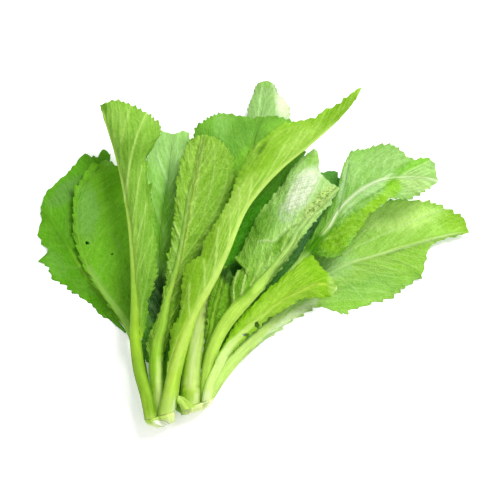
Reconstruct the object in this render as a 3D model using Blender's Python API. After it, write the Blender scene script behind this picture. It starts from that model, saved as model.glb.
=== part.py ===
"""A bunch of mustard greens, cut at the base and laid down on its side.

Every leaf is one closed solid that runs from its stalk along the midrib to the tip, with the blade
on both sides of it. The stalks start at the crown, the cut base that they all grow from.
The bunch lies on the plane z = 0 with its leaves towards +Y and its cut end towards -Y.
"""
import math
from dataclasses import dataclass

import bpy
import numpy as np

MM = 0.001

# The outlines are drawn on a plan sheet that leans back, as seen by an eye in front and above.
# One step of the sheet is a real size, and a point of it moves along its line of sight to its height.
PLAN_STEP = 0.8 * MM
PLAN_MIDDLE = 250
PLAN_ORIGIN = np.array([-2.1, -2.6, 0.0]) * MM
EYE_DISTANCE = 1.0
EYE_ELEVATION = math.radians(70.0)

# Blades
BLADE_THICKNESS = 1.2 * MM
LEAST_THICKNESS = 0.5 * MM
STALK_WING = 0.4 * MM     # how far a stalk's thin margins stand out beside it
SPREAD_SHARE = 0.15       # share of the blade over which it turns from level to its own spread
OUTWARD_SHARE = 0.6       # share of a half's width that first runs straight out from the midrib
FLATTER_SIDE = 0.8        # how round a stalk's inner side is beside its outer one
RIGHT_WAVES_AHEAD = 0.37  # how far the right edge's waves are ahead of the left's, in waves
STALK_ROWS = 5
BLADE_ROWS = 14
WING_COLUMNS = 3
RIB_COLUMNS = 5
LINE_STEPS = 12

# Crown: the stalks start on one plane that leans out over the table at its top, a little way off the
# crown's inner face
CROWN_PLAN = (181.7, 406.7)
CROWN_TURN = math.radians(17.5)
CROWN_LEAN = math.radians(20)
CROWN_GAP = 0.3 * MM
CROWN_DEPTH = 2.5 * MM

RIGHT = np.array([1.0, 0.0, 0.0])
UP = np.array([0.0, 0.0, 1.0])
SHEET_UP = np.array([0.0, math.sin(EYE_ELEVATION), math.cos(EYE_ELEVATION)])
EYE = PLAN_ORIGIN + EYE_DISTANCE * np.array([0.0, -math.cos(EYE_ELEVATION), math.sin(EYE_ELEVATION)])
CROWN_ALONG = np.array([math.cos(CROWN_TURN), math.sin(CROWN_TURN), 0.0])
CROWN_INWARD = np.array([-math.sin(CROWN_TURN), math.cos(CROWN_TURN), 0.0])
CROWN_UP = UP * math.cos(CROWN_LEAN) - CROWN_INWARD * math.sin(CROWN_LEAN)


@dataclass
class Leaf:
    """One leaf: plan points are (x, y, height), with x and y in plan steps and heights in mm."""
    name: str
    colour: tuple
    base: tuple          # where the stalk starts: mm along the crown, mm up its face
    radii: tuple         # radius in mm at the stalk's base, where the blade starts, and at the tip
    rib: list            # the midrib, from the stalk to the tip
    blade_at: int        # the rib point at which the blade starts
    left: list           # the blade's left edge, from the stalk to the tip
    right: list          # the blade's right edge
    ribbed_up: bool      # true where the ribbed underside faces up
    camber: float = 0.04
    ruffle: float = 1.5  # mm at the edge
    waves: float = 3.0


LEAVES = [
    Leaf("leaf_left_outer", (0.09, 0.26, 0.02), (-24.5, 2.6), (2.3, 2.0, 0.7),
         rib=[(147, 390, 3), (142, 362, 3), (136, 337, 3), (119, 316, 3), (100, 293, 3.2),
              (80, 266, 3.4), (63, 238, 3.5), (50, 218, 3), (41, 206, 2)],
         blade_at=3,
         left=[(126, 332, 1), (110, 321, 0), (99, 314, 0), (90, 303, 0), (78, 296, 0), (67, 287, 0),
               (55, 281, 0), (47, 268, 0), (40, 260, 1), (47, 254, 2), (46, 247, 1), (37, 237, 0.5),
               (42, 219, 0.5)],
         right=[(133, 318, 2), (127, 290, 2), (121, 255, 2.5), (114, 215, 3), (110, 178, 4),
                (109, 152, 5), (103, 149, 5), (97, 157, 5), (83, 154, 6), (74, 166, 6), (56, 182, 5),
                (45, 194, 4)],
         ribbed_up=False, camber=-0.04, ruffle=0.4),
    Leaf("leaf_left_inner", (0.13, 0.33, 0.03), (-27.5, 8), (1.9, 2.2, 0.7),
         rib=[(143, 390, 8.8), (137.5, 360, 9), (131, 334, 8.5), (119, 312, 8), (107, 297, 8),
              (97, 283, 7.4), (87, 266, 6.8), (80, 245, 7), (77, 222, 7.6), (79, 200, 8.6),
              (88, 181, 9.4), (107, 160, 9.6)],
         blade_at=2,
         left=[(123, 323, 6.5), (108, 304, 6), (94, 286, 5.4), (84, 268, 5.4), (76, 247, 5.8),
               (72, 222, 6.5), (73, 197, 7.8), (79, 180, 8.8), (91, 165, 9.6)],
         right=[(138, 330, 6.5), (143, 317, 5), (152, 300, 4.5), (165, 280, 4.5), (168, 255, 5),
                (159, 225, 6.5), (144, 200, 8), (130, 180, 9), (118, 166, 9.8)],
         ribbed_up=False, camber=0.01, ruffle=0.8),
    Leaf("leaf_left_tall", (0.17, 0.38, 0.06), (-25, 17), (4.2, 4.0, 0.8),
         rib=[(146, 395, 18), (139.2, 370, 20), (135.5, 340, 23), (135, 310, 26), (134, 280, 28.5),
              (132.5, 255, 30), (130.5, 230, 32), (127, 205, 34), (122, 178, 36), (115, 150, 38),
              (107, 125, 40), (101, 105, 41)],
         blade_at=2,
         left=[(141, 322, 16), (144, 290, 19), (144, 250, 21), (140, 215, 24), (135, 180, 27),
               (128, 150, 31), (118, 122, 35)],
         right=[(146, 328, 21), (149, 300, 25), (157, 275, 29), (157, 245, 31), (152, 215, 34),
                (149, 185, 36), (149, 158, 38), (156, 141, 40), (161, 130, 41), (152, 117, 42),
                (140, 109, 43), (124, 101, 43), (110, 101, 42)],
         ribbed_up=True),
    Leaf("leaf_left_back", (0.30, 0.52, 0.20), (-12.0, 3.2), (2.5, 2.2, 0.7),
         rib=[(169.5, 398, 3.4), (168, 372, 4.5), (166, 335, 6), (163, 300, 8), (160, 265, 10.5),
              (161, 230, 12.5), (165, 200, 12.5), (169, 175, 11), (173, 134, 5)],
         blade_at=0,
         left=[(160, 390, 3), (158, 380, 3.4), (154, 368, 4.2), (144.5, 360, 4.8), (141, 348, 6),
               (141.5, 330, 7.8), (143.5, 315, 9), (146, 295, 10), (145, 265, 12), (141, 235, 13.5),
               (140, 195, 13), (146, 160, 9), (158, 132, 3)],
         right=[(175, 386, 3.3), (177, 372, 3.8), (179, 357, 4.5), (182, 335, 6.5), (187, 305, 8.5),
                (187, 265, 11), (187, 225, 13), (188, 190, 12), (191, 155, 8), (188, 132, 3)],
         ribbed_up=True),
    Leaf("leaf_centre_left", (0.25, 0.47, 0.06), (-20.2, 8.3), (4.0, 4.8, 0.8),
         rib=[(157, 395, 9.5), (155.5, 370, 11.5), (157, 345, 15), (162, 325, 19), (167, 300, 23),
              (173, 280, 25.5), (178, 262, 27.5), (184, 230, 29.5), (190, 195, 31), (197, 165, 32),
              (203, 135, 32)],
         blade_at=1,
         left=[(149.5, 360, 10.6), (146.5, 347, 12.2), (149, 335, 14.6), (155, 323, 18), (160, 309, 21),
               (164, 290, 23), (167, 265, 25.5), (171, 240, 27.5), (174, 215, 29), (176, 190, 30),
               (180, 165, 31), (186, 147, 32), (194, 137, 33)],
         right=[(162, 360, 10.8), (166, 346, 12.4), (170, 331, 15.6), (175, 316, 18), (184, 295, 20),
                (195, 268, 22.5), (207, 245, 24.5), (220, 220, 26.5), (231, 190, 29), (234, 165, 31),
                (228, 148, 32), (215, 137, 33)],
         ribbed_up=True),
    Leaf("leaf_front", (0.30, 0.55, 0.09), (-13.0, 16), (6.2, 5.0, 0.9),
         rib=[(169.5, 400, 17), (174, 375, 20), (180.5, 350, 24), (187.5, 330, 28), (196, 310, 32),
              (208, 290, 36), (218.5, 270, 39.5), (228, 250, 42.5), (236, 230, 45), (245, 210, 47),
              (260, 190, 49), (281, 168, 51), (306, 147.5, 53), (330, 127, 54), (349, 107, 55),
              (361, 88, 55)],
         blade_at=1,
         left=[(167.5, 364, 20.6), (168.5, 351, 22.6), (171, 341, 24.5), (171, 329, 26.5),
               (179, 315, 29.5), (181, 300, 31.5), (182, 283, 34), (190, 262, 37), (199, 256, 38.5),
               (206, 234, 41), (218, 216, 43.5), (232, 193, 46), (242, 168, 48.5), (250, 152, 50),
               (262, 138, 52), (277, 126, 53), (291, 121, 54), (304, 120, 55), (313, 118, 56),
               (322, 112, 56), (336, 106, 56), (349, 94, 56)],
         right=[(183.5, 362, 19.5), (187, 342, 20.4), (189, 322, 21.4), (198, 294, 25),
                (206, 268, 28.5), (214, 242, 32), (224, 219, 35), (238, 197, 38), (255, 177, 41),
                (280, 156, 45), (305, 138, 48), (330, 117, 51)],
         ribbed_up=True),
    Leaf("leaf_centre_back", (0.12, 0.32, 0.03), (6.1, 11.5), (7.3, 3.7, 0.9),
         rib=[(190.5, 390, 12), (192.5, 365, 12.5), (197, 338, 13), (203, 308, 13.5), (211, 280, 14.5),
              (221, 255, 16), (232, 225, 18), (242, 195, 19.5), (250, 160, 21), (256, 135, 22),
              (262, 117, 22)],
         blade_at=4,
         left=[(206, 268, 14.5), (202, 240, 16), (199, 210, 18), (197, 180, 19.5), (194, 150, 21.5),
               (194, 131, 23), (204, 120, 24), (218, 114, 24), (234, 114, 24), (248, 117, 23)],
         right=[(226, 284, 13.6), (243, 272, 14.3), (257, 249, 16), (271, 215, 19), (289, 190, 20.5),
                (301, 165, 21.5), (305, 145, 22), (298, 128, 22), (289, 119, 23), (275, 117, 23)],
         ribbed_up=False),
    Leaf("leaf_back_tip", (0.42, 0.62, 0.25), (-2.5, 2.6), (2.2, 2.0, 0.7),
         rib=[(182.5, 397, 2.7), (188, 365, 3.2), (196, 330, 4), (207, 290, 5), (222, 245, 6.5),
              (238, 200, 8), (252, 150, 10), (262, 115, 8), (268, 81, 2.5)],
         blade_at=0,
         left=[(176, 388, 1.6), (178, 370, 1.8), (182, 350, 2.2), (187, 315, 3), (195, 285, 4),
               (205, 258, 5), (214, 235, 6), (224, 200, 7), (236, 160, 8), (246, 128, 7), (249, 106, 4),
               (254, 93, 2), (259, 83, 1)],
         right=[(188.5, 386, 2.3), (194, 366, 2.4), (199, 345, 2.5), (210, 318, 3.5), (223, 288, 4.5),
                (240, 250, 5.5), (258, 210, 7.5), (275, 170, 8.5), (287, 140, 9), (290, 115, 7),
                (287, 103, 5), (278, 94, 3), (275, 86, 1.5)],
         ribbed_up=True),
    Leaf("leaf_centre_right", (0.55, 0.72, 0.42), (16.2, 6.2), (3.4, 5.0, 0.9),
         rib=[(204.5, 390, 8.5), (206.5, 375, 11.5), (211, 355, 15), (220, 333, 19), (234.5, 312, 23),
              (254, 292, 27), (274, 268, 31), (289, 247, 34), (299, 230, 36), (312, 213, 38),
              (326, 200, 39), (339, 188, 40)],
         blade_at=4,
         left=[(231, 306, 20), (230, 290, 21), (234, 275, 23), (243, 265, 25), (235, 260, 25),
               (242, 247, 26), (250, 230, 27.5), (259, 214, 29), (270, 198, 30), (283, 183, 32),
               (289, 171, 33), (298, 161, 34), (306, 155, 35), (316, 150, 36), (319, 160, 37),
               (319, 169, 38), (326, 179, 39)],
         right=[(250, 304, 24), (266, 287, 27), (284, 265, 30), (299, 244, 33), (307, 232, 35),
                (318, 217, 36.5), (330, 204, 38)],
         ribbed_up=True),
    Leaf("leaf_right_back", (0.06, 0.22, 0.05), (9.5, 2.1), (1.9, 1.8, 0.7),
         rib=[(206, 368, 2.6), (226, 335, 4.5), (250, 305, 7), (275, 275, 9.5), (300, 245, 11.5),
              (318, 215, 13.5), (327, 190, 15), (330, 171, 16)],
         blade_at=0,
         left=[(205, 354, 2.2), (212, 339, 3.4), (229, 317, 5.6), (247, 295, 7.8), (257, 281, 9),
               (269, 266, 10), (287, 245, 11), (300, 222, 13), (309, 202, 14.5), (316, 185, 15.5),
               (321, 173, 16)],
         right=[(217, 364, 2), (230, 349, 2.8), (242, 330, 4.6), (252, 315, 6), (263, 300, 7),
                (275, 288, 8.2), (290, 273, 9.7), (307, 257, 11), (324, 236, 12), (334, 212, 13.5),
                (340, 190, 15), (337, 172, 16)],
         ribbed_up=False),
    Leaf("leaf_right_upper", (0.40, 0.62, 0.16), (21.5, 2.9), (2.2, 2.3, 0.7),
         rib=[(213, 376, 3.6), (230, 345, 7.5), (252, 316, 11.5), (277, 288, 14.5), (300, 262, 17),
              (315, 244, 20), (328, 228, 23), (339, 210, 26), (350, 199, 28), (362, 189, 30),
              (380, 181, 31.5), (400, 178, 32), (420, 178, 32), (438, 181, 31)],
         blade_at=4,
         left=[(311, 237, 19), (324, 215, 21), (334, 198, 23.5), (341, 185, 26), (344, 165, 28.5),
               (352, 151, 30.5), (370, 147, 31.5), (390, 144, 32.5), (401, 152, 33), (413, 159, 33),
               (430, 158, 32.5), (435, 169, 32)],
         right=[(312, 256, 19), (324, 257, 21), (337, 257, 23), (346, 252, 25), (353, 240, 27),
                (360, 229, 28.5), (367, 218, 30), (380, 207, 31), (392, 199, 32), (404, 199, 32.5),
                (418, 196, 32.5), (430, 188, 32)],
         ribbed_up=True),
    Leaf("leaf_right_lower", (0.30, 0.55, 0.12), (22.4, 9.3), (2.4, 4.4, 0.8),
         rib=[(216.5, 385, 10), (225.5, 370, 9.8), (242, 352, 8), (258, 337, 6.5), (272, 323, 5.5),
              (290, 304, 5), (312, 286, 5.5), (332, 272, 7), (352, 263, 8), (375, 256, 9),
              (400, 247, 9.5), (430, 239, 9), (455, 234, 8), (469, 232, 6)],
         blade_at=1,
         left=[(231.5, 354, 8), (243.5, 337, 6), (256, 320, 4.5), (268, 304, 4), (284, 290, 4),
               (299, 269, 4.2), (313, 251, 4.6), (332, 239, 5.8), (352, 227, 8), (370, 212, 10),
               (390, 201, 12), (412, 199, 13), (425, 200, 13), (436, 203, 12), (447, 208, 11),
               (457, 213, 10), (464, 219, 9)],
         right=[(240, 361, 6), (256, 347, 1.5), (272, 335, 0.3), (290, 324, 0), (306, 313, 0),
                (320, 308, 0), (335, 311, 0), (347, 314, 0), (353, 310, 0), (370, 305, 0),
                (388, 299, 0), (404, 289, 1), (414, 281, 2), (422, 273, 4), (427, 258, 5),
                (430, 248, 5), (440, 240, 6), (455, 237, 6)],
         ribbed_up=False, camber=-0.11, ruffle=0.5),
    Leaf("leaf_right_front", (0.42, 0.66, 0.05), (18.6, 15.6), (3.2, 2.9, 0.8),
         rib=[(209.5, 387, 16.7), (218.5, 366, 17), (228, 349, 16.5), (244, 332, 17), (262, 316, 19),
              (283, 300, 21), (305, 289, 22), (322, 284, 21.5), (337, 289, 19)],
         blade_at=1,
         left=[(216, 359, 16), (223.5, 345, 14.4), (231, 331, 15.2), (245, 311, 18), (258, 298, 20.5),
               (270, 287, 22.3), (282, 277, 23.5), (295, 267, 24.5), (303, 260, 25), (312, 256, 25),
               (320, 264, 24), (330, 276, 22)],
         right=[(229, 357, 14), (240, 345, 13), (252, 334, 13.5), (263, 323, 14.5), (275, 316, 15.5),
                (286, 309, 16.5), (300, 301, 17.5), (312, 299, 18), (323, 298, 18), (333, 295, 18)],
         ribbed_up=False, ruffle=1.0),
    Leaf("leaf_young", (0.25, 0.50, 0.04), (2.6, 1.9), (1.2, 1.4, 0.6),
         rib=[(198, 372, 2.5), (206, 350, 7), (210.5, 330, 13.5), (215, 308, 18), (221, 287, 19),
              (226, 266, 20)],
         blade_at=1,
         left=[(206, 333, 16.5), (207, 316, 18.5), (209, 301, 19), (213, 286, 20), (220, 271, 20.5)],
         right=[(213, 335, 9.5), (222, 322, 13.5), (231, 306, 16), (236, 290, 17.5), (234, 276, 19)],
         ribbed_up=False, ruffle=0.8),
]


def clear_objects():
    for thing in list(bpy.data.objects):
        bpy.data.objects.remove(thing, do_unlink=True)


def unit(vectors):
    return vectors / np.maximum(np.linalg.norm(vectors, axis=-1, keepdims=True), 1e-12)


def placed(points):
    """World places of plan points, each moved along its line of sight to its height."""
    points = np.asarray(points, dtype=float)
    across = (points[..., 0:1] - PLAN_MIDDLE) * PLAN_STEP
    upward = (PLAN_MIDDLE - points[..., 1:2]) * PLAN_STEP
    height = points[..., 2:3] * MM
    on_sheet = PLAN_ORIGIN + across * RIGHT + upward * SHEET_UP
    share = (EYE[2] - height) / (EYE[2] - on_sheet[..., 2:3])
    return EYE + (on_sheet - EYE) * share


def on_crown(along, height, inward=0.0):
    """World place of a point on the crown's face, from mm along it and mm up it."""
    middle = placed((*CROWN_PLAN, 0.0))
    return middle + along * MM * CROWN_ALONG + height * MM * CROWN_UP + inward * CROWN_INWARD


def smooth_line(points):
    """A dense centripetal spline through the points, and the length run at each of its points."""
    ends = [2 * points[0] - points[1], *points, 2 * points[-1] - points[-2]]
    gaps = [np.linalg.norm(b - a) ** 0.5 for a, b in zip(ends, ends[1:])]
    knots = np.concatenate([[0.0], np.cumsum(gaps)])
    dense = []
    for i in range(1, len(ends) - 2):
        t0, t1, t2, t3 = knots[i - 1:i + 3]
        p0, p1, p2, p3 = ends[i - 1:i + 3]
        for t in np.linspace(t1, t2, LINE_STEPS, endpoint=False):
            a1 = (t1 - t) / (t1 - t0) * p0 + (t - t0) / (t1 - t0) * p1
            a2 = (t2 - t) / (t2 - t1) * p1 + (t - t1) / (t2 - t1) * p2
            a3 = (t3 - t) / (t3 - t2) * p2 + (t - t2) / (t3 - t2) * p3
            b1 = (t2 - t) / (t2 - t0) * a1 + (t - t0) / (t2 - t0) * a2
            b2 = (t3 - t) / (t3 - t1) * a2 + (t - t1) / (t3 - t1) * a3
            dense.append((t2 - t) / (t2 - t1) * b1 + (t - t1) / (t2 - t1) * b2)
    dense = np.array(dense + [ends[-2]])
    run = np.concatenate([[0.0], np.cumsum(np.linalg.norm(np.diff(dense, axis=0), axis=1))])
    return dense, run


def read_line(dense, run, shares):
    """Points at the given shares of a dense line's length."""
    return np.stack([np.interp(shares * run[-1], run, dense[:, k]) for k in range(3)], axis=1)


def ease(values):
    values = np.clip(values, 0.0, 1.0)
    return values * values * (3 - 2 * values)


def leaf_rows(leaf):
    """Shares of the rib's length at which the leaf has a row, and how far each is along the blade."""
    points = np.vstack([on_crown(*leaf.base)[None, :], placed(leaf.rib)])
    dense, run = smooth_line(list(points))
    start = run[LINE_STEPS * (leaf.blade_at + 1)] / run[-1]
    stalk = np.linspace(0.0, start, STALK_ROWS, endpoint=False)
    blade = np.linspace(start, 1.0, BLADE_ROWS)
    shares = np.concatenate([stalk, blade])
    return read_line(dense, run, shares), shares, np.clip((shares - start) / (1 - start), 0, 1), start


def edge_line(points, rib, start_row, side, across, reach):
    """One edge of the blade, row by row; beside the stalk it keeps its least reach."""
    least = rib + side * across * reach[:, None]
    dense, run = smooth_line([least[start_row], *placed(points), least[-1]])
    edge = least.copy()
    edge[start_row:] = read_line(dense, run, np.linspace(0, 1, len(rib) - start_row))
    edge[-1] = least[-1]
    return edge


def across_rib(rib, tangent, left, right, along_blade):
    """The direction across the midrib at each row: level on the stalk, then between the blade's halves."""
    level = unit(np.cross(tangent, UP))
    to_left = unit(left - rib - np.sum((left - rib) * tangent, axis=1, keepdims=True) * tangent)
    to_right = unit(right - rib - np.sum((right - rib) * tangent, axis=1, keepdims=True) * tangent)
    share = ease(along_blade / SPREAD_SHARE)[:, None]
    across = unit(unit(to_right - to_left) * share + level * (1 - share))
    for _ in range(2):
        across[1:-1] = unit(across[:-2] + 2 * across[1:-1] + across[2:])
    across[0] = CROWN_ALONG
    return across


def half_blade(rib, edge, across, normal, side, reach, leaf, along_blade, phase):
    """Columns of points from the midrib's side out to the edge of the blade."""
    root = rib + side * across * reach[:, None]
    span = edge - root
    length = np.linalg.norm(span, axis=1, keepdims=True)
    bend = root + (OUTWARD_SHARE * length * side * across + (1 - OUTWARD_SHARE) * span) / 2
    swell = leaf.camber * length
    wave = np.sin(2 * math.pi * (leaf.waves * along_blade + phase)) * np.sin(math.pi * along_blade)
    columns = []
    for t in np.linspace(0, 1, WING_COLUMNS + 1)[1:]:
        place = (1 - t) ** 2 * root + 2 * t * (1 - t) * bend + t * t * edge
        place = place + normal * (swell * 4 * t * (1 - t))
        place = place + normal * (wave * leaf.ruffle * MM * t * t)[:, None]
        columns.append(place)
    return columns


def leaf_solid(leaf):
    rib, shares, along_blade, start = leaf_rows(leaf)
    tangent = unit(np.gradient(rib, axis=0))
    radius = np.interp(shares, [0, start, 1], np.array(leaf.radii) * MM)
    reach = radius + STALK_WING
    first = STALK_ROWS
    level = unit(np.cross(tangent, UP))
    left = edge_line(leaf.left, rib, first, -1, level, reach)
    right = edge_line(leaf.right, rib, first, 1, level, reach)
    across = across_rib(rib, tangent, left, right, along_blade)
    left = edge_line(leaf.left, rib, first, -1, across, reach)
    right = edge_line(leaf.right, rib, first, 1, across, reach)
    normal = unit(np.cross(across, tangent))
    normal[0] = CROWN_UP

    turns = np.linspace(-math.pi / 2, math.pi / 2, RIB_COLUMNS)
    lefts = half_blade(rib, left, across, normal, -1, radius, leaf, along_blade, 0.0)[::-1]
    middle = [rib + across * (radius * math.sin(turn))[:, None] for turn in turns]
    rights = half_blade(rib, right, across, normal, 1, radius, leaf, along_blade, RIGHT_WAVES_AHEAD)
    sheet = np.stack(lefts + middle + rights, axis=1)

    up = unit(np.cross(np.gradient(sheet, axis=1), np.gradient(sheet, axis=0)))
    up[0] = CROWN_UP
    crest = np.zeros(sheet.shape[1])
    crest[WING_COLUMNS:WING_COLUMNS + RIB_COLUMNS] = np.cos(turns)
    ridge = BLADE_THICKNESS / 2 + crest[None, :] * radius[:, None]
    fade = FLATTER_SIDE * (1 - ease(shares / start))
    belly = BLADE_THICKNESS / 2 + crest[None, :] * (fade * radius)[:, None]
    above, below = (ridge, belly) if leaf.ribbed_up else (belly, ridge)
    top = sheet + up * above[..., None]
    bottom = sheet - up * below[..., None]
    bottom[..., 2] = np.maximum(bottom[..., 2], 0.0)
    top[..., 2] = np.maximum(top[..., 2], LEAST_THICKNESS)
    sheet_object(leaf.name, top, bottom, leaf.colour)


def sheet_object(name, top, bottom, colour):
    """Closes two grids of points into one solid."""
    rows, columns = top.shape[:2]
    index = np.arange(rows * columns).reshape(rows, columns)
    under = index + rows * columns
    faces = []
    for i in range(rows - 1):
        for j in range(columns - 1):
            faces.append((index[i, j], index[i, j + 1], index[i + 1, j + 1], index[i + 1, j]))
            faces.append((under[i, j], under[i + 1, j], under[i + 1, j + 1], under[i, j + 1]))
    rim = list(index[0, :]) + list(index[1:, -1]) + list(index[-1, -2::-1]) + list(index[-2:0:-1, 0])
    for a, b in zip(rim, rim[1:] + rim[:1]):
        faces.append((b, a, a + rows * columns, b + rows * columns))
    points = np.concatenate([top.reshape(-1, 3), bottom.reshape(-1, 3)])
    make_object(name, points, faces, colour)


def ring_object(name, rings, colour):
    """Closes a stack of equal rings of points into one solid, with a flat face over each end."""
    count = len(rings[0])
    points = [point for ring in rings for point in ring]
    top = (len(rings) - 1) * count
    faces = [tuple(range(count - 1, -1, -1)), tuple(range(top, top + count))]
    for low in range(0, top, count):
        for k in range(count):
            after = (k + 1) % count
            faces.append((low + k, low + after, low + count + after, low + count + k))
    make_object(name, np.array(points), faces, colour)


def make_object(name, points, faces, colour):
    mesh = bpy.data.meshes.new(name)
    mesh.from_pydata([tuple(p) for p in points], [], [tuple(int(v) for v in face) for face in faces])
    mesh.update()
    mesh.shade_smooth()
    material = bpy.data.materials.new(name)
    material.use_nodes = True
    shader = material.node_tree.nodes["Principled BSDF"]
    shader.inputs["Base Color"].default_value = (*colour, 1.0)
    shader.inputs["Roughness"].default_value = 0.45
    mesh.materials.append(material)
    bpy.context.scene.collection.objects.link(bpy.data.objects.new(name, mesh))


# The crown's outline on its leaning face, mm along it and mm up it
CROWN_OUTLINE = [(-29, 2), (-30, 9), (-29.6, 17), (-26, 21.5), (-20, 22.5), (-11, 22.5), (-6.5, 18),
                 (-4.5, 11), (-3, 19), (-1, 25), (3, 25.5), (7, 20), (12.5, 18), (17, 19.5), (21.5, 18.5),
                 (24.5, 13.5), (25.5, 8), (25, 2.5), (23, 0), (12, 0), (0, 0), (-14, 0), (-27, 0)]
CROWN_WAIST = -5  # mm along the crown, between its two shoots
# Each shoot narrows to its own domed cut. The cut's place is in mm along the crown and up its face,
# then come the share of the width that is left, and the dome's height and half breadth in mm.
CROWN_CUTS = [(-15.5, 10, 0.64, 6.5, 9), (7, 9, 0.78, 2.7, 9)]
CROWN_RINGS = (0.0, 0.45, 0.8, 1.0)


def crown_dome(along):
    """How far the two domed cuts stand out at a place along the crown."""
    rises = [rise * math.exp(-((along - place) / breadth) ** 2) for place, _, _, rise, breadth in CROWN_CUTS]
    return MM * sum(rises)


def crown_solid():
    """The base that the stalks grow from, with its cut faces away from the leaves."""
    rings = []
    for share in CROWN_RINGS:
        ring = []
        for along, height in CROWN_OUTLINE:
            centre_along, centre_height, left_over, _, _ = CROWN_CUTS[along > CROWN_WAIST]
            keep = 1 - (1 - left_over) * share ** 2
            a = centre_along + (along - centre_along) * keep
            h = centre_height + (height - centre_height) * keep
            ring.append(on_crown(a, h, -CROWN_GAP - share * (CROWN_DEPTH + crown_dome(a))))
        rings.append(ring[::-1])
    ring_object("crown", rings, (0.62, 0.74, 0.40))


# The cut stub's place in mm along the crown and up its face, and its rings in mm:
# how far in towards the leaves, how far it leans along the crown, and its radius
STUB_PLACE = (1.0, 22.6)
STUB_RINGS = [(0.0, 0.0, 3.3), (4.0, 0.0, 3.1), (8.0, -0.5, 2.4), (9.5, -1.0, 1.2)]
STUB_SIDES = 10
STUB_SLANT = 2.0
SLANT_FROM = 5.0


def stub_solid():
    """What is left of a stalk that was cut away on a slant, between the two groups of stalks."""
    rings = []
    for inward, lean, radius in STUB_RINGS:
        ring = []
        for k in range(STUB_SIDES):
            turn = 2 * math.pi * k / STUB_SIDES
            slant = STUB_SLANT * math.sin(turn) if inward > SLANT_FROM else 0.0
            along = STUB_PLACE[0] + lean + radius * math.cos(turn)
            ring.append(on_crown(along, STUB_PLACE[1] + radius * math.sin(turn), (inward - slant) * MM))
        rings.append(ring[::-1])
    ring_object("cut_stub", rings, (0.45, 0.62, 0.16))


def build():
    clear_objects()
    for leaf in LEAVES:
        leaf_solid(leaf)
    crown_solid()
    stub_solid()


build()
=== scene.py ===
"""The looks of a bunch of mustard greens that lies on its side, with the cut base towards the viewer.

Every leaf is a thin shell with its stalk and midrib in one piece. Its middle surface follows the CAD
leaf, and gets the toothed margin, the veins and the crinkled blade here. Plan points are (x, y, height):
x and y are steps on a plan sheet that leans back, facing the camera, and heights are in mm.
"""

import math
from dataclasses import dataclass, field

import bpy
import numpy as np
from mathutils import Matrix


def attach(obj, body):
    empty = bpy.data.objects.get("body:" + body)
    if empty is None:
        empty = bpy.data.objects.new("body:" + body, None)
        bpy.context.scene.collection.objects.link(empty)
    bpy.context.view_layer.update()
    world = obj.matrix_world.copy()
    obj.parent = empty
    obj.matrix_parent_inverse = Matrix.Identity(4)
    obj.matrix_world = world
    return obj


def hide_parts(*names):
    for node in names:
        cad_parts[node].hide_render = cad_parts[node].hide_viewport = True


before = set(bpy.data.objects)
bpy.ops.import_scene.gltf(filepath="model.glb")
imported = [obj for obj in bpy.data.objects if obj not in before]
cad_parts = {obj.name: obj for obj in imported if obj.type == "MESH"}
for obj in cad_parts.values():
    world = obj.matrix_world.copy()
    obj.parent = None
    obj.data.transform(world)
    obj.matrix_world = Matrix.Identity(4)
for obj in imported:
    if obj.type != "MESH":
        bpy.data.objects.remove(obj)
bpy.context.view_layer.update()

MM = 0.001

# The plan sheet and the eye that sees it
PLAN_STEP = 0.8 * MM
PLAN_MIDDLE = 250
PLAN_ORIGIN = np.array([-2.1, -2.6, 0.0]) * MM
EYE_DISTANCE = 1.0
EYE_ELEVATION = math.radians(70.0)
RIGHT = np.array([1.0, 0.0, 0.0])
UP = np.array([0.0, 0.0, 1.0])
SHEET_UP = np.array([0.0, math.sin(EYE_ELEVATION), math.cos(EYE_ELEVATION)])
TO_EYE = np.array([0.0, -math.cos(EYE_ELEVATION), math.sin(EYE_ELEVATION)])
EYE = PLAN_ORIGIN + EYE_DISTANCE * TO_EYE

# The crown's leaning face, which the stalks start on
CROWN_PLAN = (181.7, 406.7)
CROWN_TURN = math.radians(17.5)
CROWN_LEAN = math.radians(20)
CROWN_ALONG = np.array([math.cos(CROWN_TURN), math.sin(CROWN_TURN), 0.0])
CROWN_INWARD = np.array([-math.sin(CROWN_TURN), math.cos(CROWN_TURN), 0.0])
CROWN_UP = UP * math.cos(CROWN_LEAN) - CROWN_INWARD * math.sin(CROWN_LEAN)

# The CAD leaf's rows and shape, which the shell repeats
CAD_STALK_ROWS = 5
CAD_BLADE_ROWS = 14
LINE_STEPS = 12            # points of a smooth line between two given ones
STALK_WING = 0.4 * MM      # least reach of the edge beyond the stalk and the midrib
SPREAD_SHARE = 0.15        # share of the blade over which its halves open
OUTWARD_SHARE = 0.6        # how much of a half blade leaves the midrib sideways
FLATTER_SIDE = 0.8         # how far the stalk bulges on its flatter side
RIGHT_WAVES_AHEAD = 0.37   # of a wave, against the left edge
STALK_BLEND = 12 * MM      # the stalk's first stretch, which turns to the crown's face

# The shell's own fineness
STALK_STEP = 2.0 * MM
BLADE_STEP = 0.9 * MM
RIB_COLUMNS = 13
LEAST_STALK_ROWS = 6
LEAST_COLUMNS = 8          # of a half blade
MOST_COLUMNS = 90
BLADE_THICKNESS = 0.55 * MM
LEAST_THICKNESS = 0.3 * MM
BLADE_BEGINS = 2.0         # mm beside the midrib over which its skin becomes blade
BLADE_RISES = 6.0          # mm beside the midrib over which the crinkles set in
BLADE_OPENS = 0.06         # share of the blade over which it starts beside the stalk
RIB_NARROWS = 0.55         # share of the blade over which the midrib gets narrow
RIB_SOFTENS = 0.3          # share of the blade over which the midrib loses its flutes
SOFT_RIB = 0.8             # how high it then is, against a round one
ACROSS_PASSES = 12
TANGENT_PASSES = 8

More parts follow.
